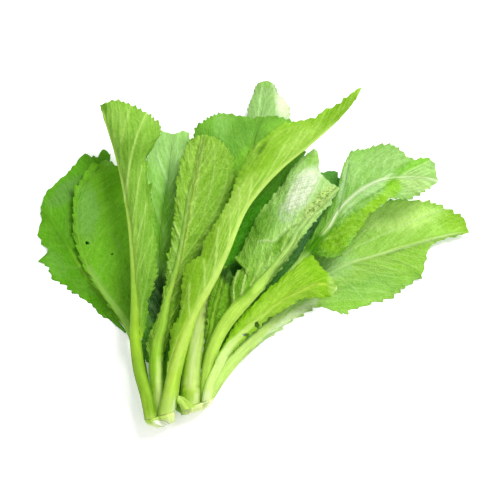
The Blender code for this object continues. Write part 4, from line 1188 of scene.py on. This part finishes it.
# Painted highlight and shade on the round stalk: lighter along its crest, darker on all of it
CREST_SHADE = (0.14, 0.1)  # lighter on the stalk's crest, darker on all of it
SHADE_FADES = 0.4          # share of the blade over which the stalk's shading gets weak
SHADE_LOST = 0.8           # of it that is lost there
RIB_COLOUR_REACH = 0.8     # share of the blade over which the midrib turns to its far colour
TIP_SHADE = 0.3            # how much darker a tooth's tip is
# mm along the stalk over which the painted seam light fades out
SEAM_LIGHT_REACH = 1.6           # mm


def leaf_colour(sheet, blade, x, y, covers, seed):
    """The colour at each place of the leaf."""
    look = sheet.look
    along, away = sheet.along, sheet.away
    ahead = sheet.along_blade[:, None] * np.ones(along.shape[1])
    colour = mixed(look.face, look.face_far, ease(ahead))
    rib = mixed(look.stalk, look.rib_far, ease(ahead / RIB_COLOUR_REACH))
    fibres = soft_noise(along / FIBRE_STRETCH, away, FIBRE_SIZE, seed + SEEDS["fibres"])
    # The stalk's fibres, with a painted highlight along its crest and painted shade on its sides
    shading = CREST_SHADE[0] * sheet.crest ** 2 - CREST_SHADE[1] + FIBRE_SHADE * fibres
    shading = shading * (1 - SHADE_LOST * ease(ahead / SHADE_FADES))
    rib = rib * (1 + shading)[..., None]
    lightness = 1.0
    for step, (amount, size) in enumerate(CLOUDS):
        lightness = lightness + amount * soft_noise(along, away, size, seed + SEEDS["shade"] + step)
    colour = mixed(rib, colour * lightness[..., None], blade)
    colour = patched(colour, x, y, look.patches, seed)
    colour = colour * (1 - TIP_SHADE * sheet.tips)[..., None]
    for strokes, cover in zip(look.strokes, covers):
        colour = mixed(colour, strokes.colour, cover * strokes.amount)
    # Painted light over the seam at the stalk's end
    return mixed(colour, SEAM_PAINTED_LIGHT, SEAM_LIGHT_AMOUNT * np.exp(-along / SEAM_LIGHT_REACH))


HALVES_APART = 40.0  # mm between the halves' patterns


def leaf_flat(sheet, blade, seed):
    """Places on the leaf laid flat that turn along with its side veins, for the fine patterns."""
    away = np.abs(sheet.away)
    turn = np.radians(np.mean(sheet.look.vein_angle)) * blade
    beside = sheet.along * np.sin(turn) - away * np.cos(turn)
    ahead = sheet.along * np.cos(turn) + away * np.sin(turn)
    return np.stack([beside, ahead, np.sign(sheet.away) * HALVES_APART + seed], axis=-1)


def paint(piece, colour, vein, blade, flat):
    """Stores what the material reads, the same on both sides of the shell."""
    copies = len(piece.data.vertices) // vein.size
    tint = np.concatenate([np.clip(colour, 0, 1), np.ones((*vein.shape, 1))], axis=-1)
    stored = (
        ("tint", "FLOAT_COLOR", "color", tint),
        ("vein", "FLOAT", "value", vein),
        ("blade", "FLOAT", "value", blade),
        ("flat", "FLOAT_VECTOR", "vector", flat),
    )
    for name, kind, slot, values in stored:
        attribute = piece.data.attributes.new(name, kind, "POINT")
        values = np.concatenate([values.astype(np.float32).ravel()] * copies)
        attribute.data.foreach_set(slot, values)


# The cut base

CROWN_WAIST = -5  # mm along the crown, between its two shoots


@dataclass
class Shoot:
    """One of the two shoots, in mm along the crown and up its face."""
    middle: tuple
    core: tuple      # half breadth and half height that the stalks' outlines stand out from
    cut: tuple       # the middle of the domed cut
    cut_size: tuple  # half breadth and half height of the cut
    depth: float     # mm from the face down to the cut


SHOOTS = [Shoot((-19, 10.5), (8.5, 8.0), (-15.5, 9.5), (7.2, 5.6), 9.0),
          Shoot((10, 10.0), (10.5, 7.5), (8.5, 8.5), (11.0, 6.5), 5.6)]
CROWN_TURNS = 180   # points round it
CROWN_LAP = 0.5     # mm that its skin reaches up over the stalks' ends
CROWN_PROUD = 0.08  # mm that it stands out there
OUTLINE_POINTS = 900
SIDE_RINGS = 16
CUT_RINGS = 12
CUT_CUP = (1.3, 0.5)    # mm that the cut is hollowed inside its rim, and raised again in the middle
CUT_RIM = 0.4           # share of its radius over which it is hollowed, and raised
CUT_RAISED_FROM = 0.5
CUT_FIRST_RING = 0.03   # share of the radius from the rim
CUT_COLOUR_RIM = 0.1
CUT_COLOUR_FROM = (0.1, 0.5)  # share of the way down where the cut's colour begins, and its length
# mm down the crown over which the painted seam light fades out
SHOOT_SEAM_LIGHT_REACH = 1.2  # mm
STALK_COLOUR_FADE = 0.8  # mm beyond a stalk over which its colour fades
CUT_ROUGH = ((0.3, 2.6), (0.25, 1.2))  # mm deep and mm across

# The stub: mm along the crown and up it, and for each ring mm from it, mm sideways and radius
STUB_PLACE = (1.0, 22.6)
STUB_RINGS = np.array([(0.0, 2.0, 3.3), (4.0, 0.9, 3.0), (8.0, -0.8, 2.2), (9.5, -1.4, 1.2)])
STUB_STEPS = 20
STUB_SIDES = 48
STUB_FLUTES = 9
STUB_FLUTE_DEPTH = 0.04
STUB_SLANT = 2.0    # mm of the cut, on each side
STUB_BROADER = 1.5  # breadth over height
SLANT_FROM = 5.0    # mm from the crown

CROWN_LOOK = Look(
    "cut_base", (236, 242, 216), (236, 242, 216), (222, 240, 164), (222, 240, 164), (224, 240, 180),
    translucent=0.15,
    patches=[
        Patch(148, 419, 6, 3, 24, (160, 206, 60), 0.8),
        # Painted highlight: white light on the right edge of the left shoot
        Patch(173, 417, 3, 6, 8, (226, 240, 166), 0.7),
        Patch(162.5, 423.5, 9, 3.6, 14, (250, 252, 240), 1.0),
        Patch(199, 411, 12, 4, -25, (238, 248, 190), 0.8),
        Patch(190, 417, 8, 2.5, -18, (230, 240, 176), 0.7),
        Patch(208, 403, 6, 6, 0, (240, 248, 204), 0.85),
        Patch(179.5, 413, 3.2, 9, -18, (112, 170, 10), 0.95)],
    strokes=[
        line([(152, 420.5), (157, 419.5), (163, 420.5), (168, 422.5), (171, 426)], 0.6, (160, 178, 124),
             0.8),
        line([(153, 422), (158, 425.5), (164, 427), (171, 427)], 0.6, (170, 188, 136), 0.6),
        line([(158, 422), (163, 422.5), (167, 425), (163, 425.5), (158, 422.5)], 0.5, (206, 216, 186),
             0.6),
        line([(202, 406), (205, 404.5), (210, 401.5)], 0.9, (150, 176, 70), 0.7),
        line([(188, 413), (194, 410), (202, 408), (208, 405)], 0.8, (200, 212, 120), 0.6),
        line([(177, 417), (179, 419), (183, 417)], 0.9, (96, 130, 20), 0.8)])
STUB_LOOK = Look(
    "cut_base", (170, 204, 88), (170, 204, 88), (170, 204, 88), (170, 204, 88), (186, 220, 90),
    translucent=0.15,
    patches=[
        Patch(180.5, 398, 4, 3, 48, (206, 232, 130), 0.8),
        Patch(187, 407, 8, 2.6, 52, (198, 228, 112), 0.8),
        Patch(178, 408, 2.2, 9, -12, (124, 180, 16), 0.9)],
    strokes=[
        line([(179, 395), (184, 400), (188, 405), (192, 411)], 0.8, (130, 172, 30), 0.7)])


def shoot_outline(shoot, turns, stalk_ends):
    """How far the shoot reaches each way from its middle, round its core and the stalks on it."""
    reach = np.hypot(shoot.core[0] * np.cos(turns), shoot.core[1] * np.sin(turns))
    for leaf in LEAVES:
        if (leaf.base[0] > CROWN_WAIST) != (shoot.middle[0] > CROWN_WAIST):
            continue
        outline = stalk_ends[leaf.name] - on_crown(0, 0)
        corners = np.arange(len(outline) + 1)
        spread = np.linspace(0, len(outline), OUTLINE_POINTS)
        along, height = (np.interp(spread, corners, np.append(outline @ way, outline[0] @ way) / MM)
                         for way in (CROWN_ALONG, CROWN_UP))
        along, height = along - shoot.middle[0], height - shoot.middle[1]
        nearest = np.round(np.arctan2(height, along) / (2 * math.pi) * len(turns)).astype(int) % len(turns)
        np.maximum.at(reach, nearest, np.hypot(along, height))
    return (np.roll(reach, 1) + 4 * reach + np.roll(reach, -1)) / 6 + CROWN_PROUD


def stalk_colours(along, height, places):
    """The colours of the stalks that grow from the crown, each where it stands."""
    x, y = plan_of(places)
    total, weights = 0, 0
    for leaf in LEAVES:
        away = np.hypot(along - leaf.base[0], height - leaf.base[1]) - leaf.radii[0]
        weight = np.exp(-np.maximum(away, -2) / STALK_COLOUR_FADE)
        look = LOOKS[leaf.name]
        stalk = patched(np.asarray(look.stalk), x, y, look.patches, 0)
        total = total + weight[..., None] * stalk
        weights = weights + weight
    return total / weights[..., None]


def shoot_rings(shoot, stalk_ends, seed):
    """Rings from the shoot's face down its sides and in over its domed cut, and how far in each one is."""
    turns = np.linspace(0, 2 * math.pi, CROWN_TURNS, endpoint=False)
    sides = np.linspace(0, 1, SIDE_RINGS)
    down = np.concatenate([sides, np.ones(CUT_RINGS)])[:, None]
    inside = np.concatenate([np.zeros(SIDE_RINGS), np.linspace(CUT_FIRST_RING, 1, CUT_RINGS)])[:, None]
    narrowed = down ** 2
    cut_reach = np.hypot(shoot.cut_size[0] * np.cos(turns), shoot.cut_size[1] * np.sin(turns))
    reach = shoot_outline(shoot, turns, stalk_ends) * (1 - narrowed) + cut_reach * narrowed
    middle = [shoot.middle[k] * (1 - narrowed) + shoot.cut[k] * narrowed for k in (0, 1)]
    along = middle[0] + reach * (1 - inside) * np.cos(turns)
    height = np.maximum(middle[1] + reach * (1 - inside) * np.sin(turns), 0)
    raised = ease((inside - CUT_RAISED_FROM) / CUT_RIM)
    cup = CUT_CUP[0] * ease(inside / CUT_RIM) - CUT_CUP[1] * raised
    rough = sum(deep * soft_noise(along, height, size, seed) for deep, size in CUT_ROUGH) * down ** 3
    inward = CROWN_LAP - down * shoot.depth + cup + rough
    places = on_crown(along, height, np.minimum(inward, CROWN_LAP) * MM)
    colour = stalk_colours(along, height, places)
    # Painted light over the seam where the crown meets the stalks
    colour = mixed(colour, SEAM_PAINTED_LIGHT, SEAM_LIGHT_AMOUNT * np.exp(-down * shoot.depth / SHOOT_SEAM_LIGHT_REACH))
    colour = mixed(colour, CROWN_LOOK.stalk, ease((down - CUT_COLOUR_FROM[0]) / CUT_COLOUR_FROM[1]))
    return places, mixed(colour, CROWN_LOOK.face, ease(inside / CUT_COLOUR_RIM))


def crown_piece(stalk_ends, seed):
    """The base of the two shoots: each carries on the stalks' outlines and narrows to a domed cut."""
    shoots = [ring_mesh(*shoot_rings(shoot, stalk_ends, seed), CROWN_LOOK, seed + 1) for shoot in SHOOTS]
    return ring_piece("crown", shoots, True)


def stub_piece(seed):
    """What is left of a stalk that was cut away on a slant, between the two groups of stalks."""
    inward = np.linspace(0, STUB_RINGS[-1, 0], STUB_STEPS)[:, None]
    lean = np.interp(inward, STUB_RINGS[:, 0], STUB_RINGS[:, 1])
    radius = np.interp(inward, STUB_RINGS[:, 0], STUB_RINGS[:, 2])
    inward, lean, radius = (np.vstack([value, value[-1:]]) for value in (inward, lean, radius))
    radius[-1] = 0
    turn = np.linspace(0, 2 * math.pi, STUB_SIDES, endpoint=False)
    slant = STUB_SLANT * np.sin(turn) * ease((inward - SLANT_FROM) / 2)
    flutes = 1 + STUB_FLUTE_DEPTH * np.cos(STUB_FLUTES * turn)
    a = STUB_PLACE[0] + lean + STUB_BROADER * radius * flutes * np.cos(turn) + (1 - inward / inward[-1])
    h = STUB_PLACE[1] + radius * flutes * np.sin(turn)
    rings = on_crown(a, h, (inward - slant) * MM)[:, ::-1]
    colour = mixed(STUB_LOOK.stalk, STUB_LOOK.face, np.ones(rings.shape[:2]))
    return ring_piece("cut_stub", [ring_mesh(rings, colour, STUB_LOOK, seed)], False)


RING_SPACING = 0.4  # mm between a ring's points in the patterns


def ring_mesh(rings, colour, look, seed):
    """Rings with a middle point's ring before them, their colours, and their places for the patterns."""
    columns = rings.shape[1]
    middle = np.repeat(rings[:1].mean(axis=1, keepdims=True), columns, axis=1)
    rings = np.concatenate([middle, rings[:1], rings])
    colour = np.concatenate([colour[:1], colour[:1], colour])
    x, y = plan_of(rings)
    rng = np.random.RandomState(seed)
    colour = patched(colour, x, y, look.patches, seed)
    for strokes in look.strokes:
        colour = mixed(colour, strokes.colour, marks(x, y, strokes, rng) * strokes.amount)
    step = np.linalg.norm(np.diff(rings[2:], axis=0), axis=2).mean(axis=1)
    deep = np.concatenate([[0, 0, 0], np.cumsum(step)])[:, None] / MM * np.ones((1, columns))
    round_it = np.arange(columns) * np.ones((len(rings), 1)) * RING_SPACING
    return rings, colour, np.stack([round_it, deep, deep * 0 + seed], axis=-1)


def ring_piece(name, meshes, turned):
    """Solids from rings that shrink to nothing at the last one; each starts with a flat face."""
    faces, before = [], 0
    for rings, _, _ in meshes:
        index = before + np.arange(rings[..., 0].size).reshape(rings.shape[:2])
        after = np.roll(index, -1, axis=1)
        round_faces = np.stack([index[:-1], after[:-1], after[1:], index[1:]], axis=-1)
        faces.append(np.delete(round_faces, 1, axis=0).reshape(-1, 4))
        faces.append(np.stack([index[1], after[1], after[2], index[2]], axis=-1))
        before += index.size
    faces = np.concatenate(faces)
    if turned:
        faces = faces[:, ::-1]
    parts = ([mesh[part].reshape(-1, 3) for mesh in meshes] for part in range(3))
    points, colour, flat = (np.concatenate(part) for part in parts)
    piece = mesh_object(name, points, faces)
    paint(piece, colour, flat[:, 0] * 0, flat[:, 0] * 0, flat)
    return piece


# Materials

class Nodes:
    """Short calls for building a material's node tree."""

    def __init__(self, name):
        self.material = bpy.data.materials.new(name)
        self.material.use_nodes = True
        self.tree = self.material.node_tree
        self.tree.nodes.clear()

    def add(self, kind, **settings):
        node = self.tree.nodes.new(kind)
        for key, value in settings.items():
            setattr(node, key, value)
        return node

    def link(self, source, target):
        self.tree.links.new(source, target)

    def feed(self, socket, value):
        if isinstance(value, bpy.types.NodeSocket):
            self.link(value, socket)
        else:
            socket.default_value = value

    def read(self, name, output):
        return self.add("ShaderNodeAttribute", attribute_name=name).outputs[output]

    def calc(self, operation, first, second=0.0, clamp=False):
        node = self.add("ShaderNodeMath", operation=operation, use_clamp=clamp)
        self.feed(node.inputs[0], first)
        self.feed(node.inputs[1], second)
        return node.outputs[0]

    def span(self, value, low, high, out_low=0.0, out_high=1.0):
        node = self.add("ShaderNodeMapRange", interpolation_type="SMOOTHSTEP")
        for socket, given in zip(node.inputs, (value, low, high, out_low, out_high)):
            self.feed(socket, given)
        return node.outputs[0]

    def mix(self, share, first, second, blend="MIX"):
        node = self.add("ShaderNodeMix", data_type="RGBA", blend_type=blend)
        self.feed(node.inputs["Factor"], share)
        self.feed(node.inputs[6], first)
        self.feed(node.inputs[7], second)
        return node.outputs[2]

    def stretched(self, vector, scale):
        node = self.add("ShaderNodeVectorMath", operation="MULTIPLY")
        self.feed(node.inputs[0], vector)
        node.inputs[1].default_value = scale
        return node.outputs[0]

    def noise(self, vector, scale, detail=2.0):
        node = self.add("ShaderNodeTexNoise")
        self.link(vector, node.inputs["Vector"])
        node.inputs["Scale"].default_value = scale
        node.inputs["Detail"].default_value = detail
        return node.outputs[0]

    def cells(self, vector, scale):
        node = self.add("ShaderNodeTexVoronoi", feature="DISTANCE_TO_EDGE")
        self.link(vector, node.inputs["Vector"])
        node.inputs["Scale"].default_value = scale
        return node.outputs["Distance"]


# What the tint is multiplied by, in red, green and blue light
PALER = (1.45, 1.3, 1.9, 1.0)
STREAK_SHADOW = (0.66, 0.8, 0.34, 1.0)
GRAIN_SHADOW = (0.66, 0.78, 0.35, 1.0)
MOTTLE_SHADOW = (0.6, 0.72, 0.25, 1.0)
HOLLOW_SHADOW = (0.72, 0.82, 0.5, 1.0)
YELLOWER = (1.0, 1.0, 0.45, 1.0)
BUMP_HEIGHT = 0.6 * MM

# The patterns' stretches, and their scales for each mm
NET_STRETCH = (1.0, 0.62, 1.0)
NET_SCALE = 0.42
STREAK_STRETCH = (1.0, 0.09, 1.0)
STREAK_SCALE = 0.9
MOTTLE_SCALE = 0.22
GRAIN_SCALE = 0.75

# How a pattern's value turns into an amount: from a low and a high value to what each gives
NET_LINE = (0.0, 0.17, 1.0, 0.0)
HOLLOW = (0.12, 0.5, 0.0)
HOLLOW_AMOUNT = 0.5  # at a bump of 1
STREAK_DARK = (0.3, 0.5, 0.4, 0.0)
STREAK_PALE = (0.5, 0.7, 0.0, 0.45)
GRAIN_DARK = (0.35, 0.65, 0.0, 0.4)
MOTTLE_DARK = (0.35, 0.65, 0.0, 0.2)
ROUGHNESS = (0.3, 0.7, 0.42, 0.6)
NET_AMOUNT = 0.36    # at a bump of 1
VEIN_AMOUNT = 0.85
NET_BUMP = 0.7
STREAK_BUMP = 0.6
SHINE = 0.1


def plant_material(name, look):
    """Leaf skin: the stored tint with a fine net of veins on the blade, and streaks along the stalk."""
    nodes = Nodes(name)
    tint = nodes.read("tint", "Color")
    vein = nodes.read("vein", "Fac")
    blade = nodes.read("blade", "Fac")
    flat = nodes.read("flat", "Vector")
    brighter = nodes.mix(1.0, tint, PALER, "MULTIPLY")
    pale = nodes.mix(0.5, brighter, (*look.vein, 1.0))

    border = nodes.cells(nodes.stretched(flat, NET_STRETCH), NET_SCALE)
    net = nodes.calc("MULTIPLY", nodes.span(border, *NET_LINE), blade)
    hollow = nodes.calc("MULTIPLY", nodes.span(border, *HOLLOW, HOLLOW_AMOUNT * look.bump), blade)
    streak = nodes.noise(nodes.stretched(flat, STREAK_STRETCH), STREAK_SCALE, 3.0)
    mottle = nodes.noise(flat, MOTTLE_SCALE, 3.0)
    grain = nodes.noise(flat, GRAIN_SCALE, 2.0)

    shadowed = nodes.mix(nodes.span(streak, *STREAK_DARK), tint, STREAK_SHADOW, "MULTIPLY")
    streaked = nodes.mix(nodes.span(streak, *STREAK_PALE), shadowed, pale)
    darker = nodes.calc("MULTIPLY", nodes.span(grain, *GRAIN_DARK), blade)
    grainy = nodes.mix(darker, streaked, GRAIN_SHADOW, "MULTIPLY")
    mottled = nodes.mix(nodes.span(mottle, *MOTTLE_DARK), grainy, MOTTLE_SHADOW, "MULTIPLY")
    hollowed = nodes.mix(hollow, mottled, HOLLOW_SHADOW, "MULTIPLY")
    netted = nodes.mix(nodes.calc("MULTIPLY", net, NET_AMOUNT * look.bump), hollowed, pale)
    colour = nodes.mix(nodes.calc("MULTIPLY", vein, VEIN_AMOUNT, clamp=True), netted, pale)

    net_height = nodes.calc("MULTIPLY", net, NET_BUMP)
    height = nodes.calc("ADD", net_height, nodes.calc("MULTIPLY", streak, STREAK_BUMP))
    bump = nodes.add("ShaderNodeBump")
    bump.inputs["Strength"].default_value = look.bump
    bump.inputs["Distance"].default_value = BUMP_HEIGHT
    nodes.link(height, bump.inputs["Height"])

    skin = nodes.add("ShaderNodeBsdfPrincipled")
    nodes.link(colour, skin.inputs["Base Color"])
    nodes.link(nodes.span(mottle, *ROUGHNESS), skin.inputs["Roughness"])
    skin.inputs["Specular IOR Level"].default_value = SHINE
    nodes.link(bump.outputs[0], skin.inputs["Normal"])
    through = nodes.add("ShaderNodeBsdfTranslucent")
    nodes.link(nodes.mix(1.0, colour, YELLOWER, "MULTIPLY"), through.inputs["Color"])
    both = nodes.add("ShaderNodeMixShader")
    both.inputs[0].default_value = look.translucent
    nodes.link(skin.outputs[0], both.inputs[1])
    nodes.link(through.outputs[0], both.inputs[2])
    output = nodes.add("ShaderNodeOutputMaterial")
    nodes.link(both.outputs[0], output.inputs["Surface"])
    return nodes.material


FLOOR_GREY = (0.93, 0.93, 0.93, 1.0)
FLOOR_WHITE = (0.95, 0.95, 0.95, 1.0)
FLOOR_GLOW = 0.24
FLOOR_ROUGHNESS = 0.9
FLOOR_REACH = 3.0  # metres each way


def floor_material():
    """A plain white table that glows a little, so that its shadows stay faint."""
    nodes = Nodes("floor")
    place = nodes.add("ShaderNodeTexCoord").outputs["Object"]
    white = nodes.mix(nodes.noise(place, 3.0), FLOOR_GREY, FLOOR_WHITE)
    skin = nodes.add("ShaderNodeBsdfPrincipled")
    nodes.link(white, skin.inputs["Base Color"])
    skin.inputs["Roughness"].default_value = FLOOR_ROUGHNESS
    skin.inputs["Specular IOR Level"].default_value = 0.0
    skin.inputs["Emission Color"].default_value = (1.0, 1.0, 1.0, 1.0)
    skin.inputs["Emission Strength"].default_value = FLOOR_GLOW
    output = nodes.add("ShaderNodeOutputMaterial")
    nodes.link(skin.outputs[0], output.inputs["Surface"])
    return nodes.material


# The scene

LENS = 90        # mm
SENSOR = 36      # mm wide
CLIP_START = 0.05
SKY_LIGHT = 0.77
KEY_PLACE = (0.75, 0.65, 1.3)  # metres
KEY_SIZE = 0.8
KEY_POWER = 27.0  # watts
KEY_COLOUR = (1.0, 0.99, 0.95)


def add_camera():
    camera = bpy.data.cameras.new("camera")
    camera.lens = LENS
    camera.sensor_width = SENSOR
    camera.clip_start = CLIP_START
    thing = bpy.data.objects.new("camera", camera)
    thing.location = EYE
    thing.rotation_euler = (math.pi / 2 - EYE_ELEVATION, 0, 0)
    bpy.context.scene.collection.objects.link(thing)
    bpy.context.scene.camera = thing


def add_light(name, place, size, power, colour):
    light = bpy.data.lights.new(name, "AREA")
    light.shape = "DISK"
    light.size = size
    light.energy = power
    light.color = colour
    thing = bpy.data.objects.new(name, light)
    thing.location = place
    direction = -np.array(place)
    thing.rotation_euler = (math.acos(-direction[2] / np.linalg.norm(direction)), 0,
                            math.atan2(direction[1], direction[0]) - math.pi / 2)
    bpy.context.scene.collection.objects.link(thing)


def add_surroundings():
    mesh = bpy.data.meshes.new("floor")
    corners = [(x * FLOOR_REACH, y * FLOOR_REACH, 0) for x, y in ((-1, -1), (1, -1), (1, 1), (-1, 1))]
    mesh.from_pydata(corners, [], [(0, 1, 2, 3)])
    floor = bpy.data.objects.new("floor", mesh)
    mesh.materials.append(floor_material())
    bpy.context.scene.collection.objects.link(floor)
    world = bpy.data.worlds.new("world")
    world.use_nodes = True
    background = world.node_tree.nodes["Background"]
    background.inputs["Color"].default_value = (1.0, 1.0, 1.0, 1.0)
    background.inputs["Strength"].default_value = SKY_LIGHT
    bpy.context.scene.world = world
    bpy.context.scene.view_settings.view_transform = "Standard"
    add_light("key", KEY_PLACE, KEY_SIZE, KEY_POWER, KEY_COLOUR)


def add_piece(piece, node, look):
    """Puts a piece in the place of its CAD node."""
    piece.data.materials.append(plant_material(node, look))
    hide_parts(node)
    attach(piece, "root")


# Where each piece's random draws start
LEAF_SEED = 3
LEAF_SEED_STEP = 11
CROWN_SEED = 401
STUB_SEED = 402


def build():
    add_camera()
    add_surroundings()
    stalk_ends = {}
    for number, leaf in enumerate(LEAVES):
        look = LOOKS[leaf.name]
        piece, stalk_ends[leaf.name] = leaf_piece(leaf, look, LEAF_SEED_STEP * number + LEAF_SEED)
        add_piece(piece, leaf.name, look)
    add_piece(crown_piece(stalk_ends, CROWN_SEED), "crown", CROWN_LOOK)
    add_piece(stub_piece(STUB_SEED), "cut_stub", STUB_LOOK)


build()
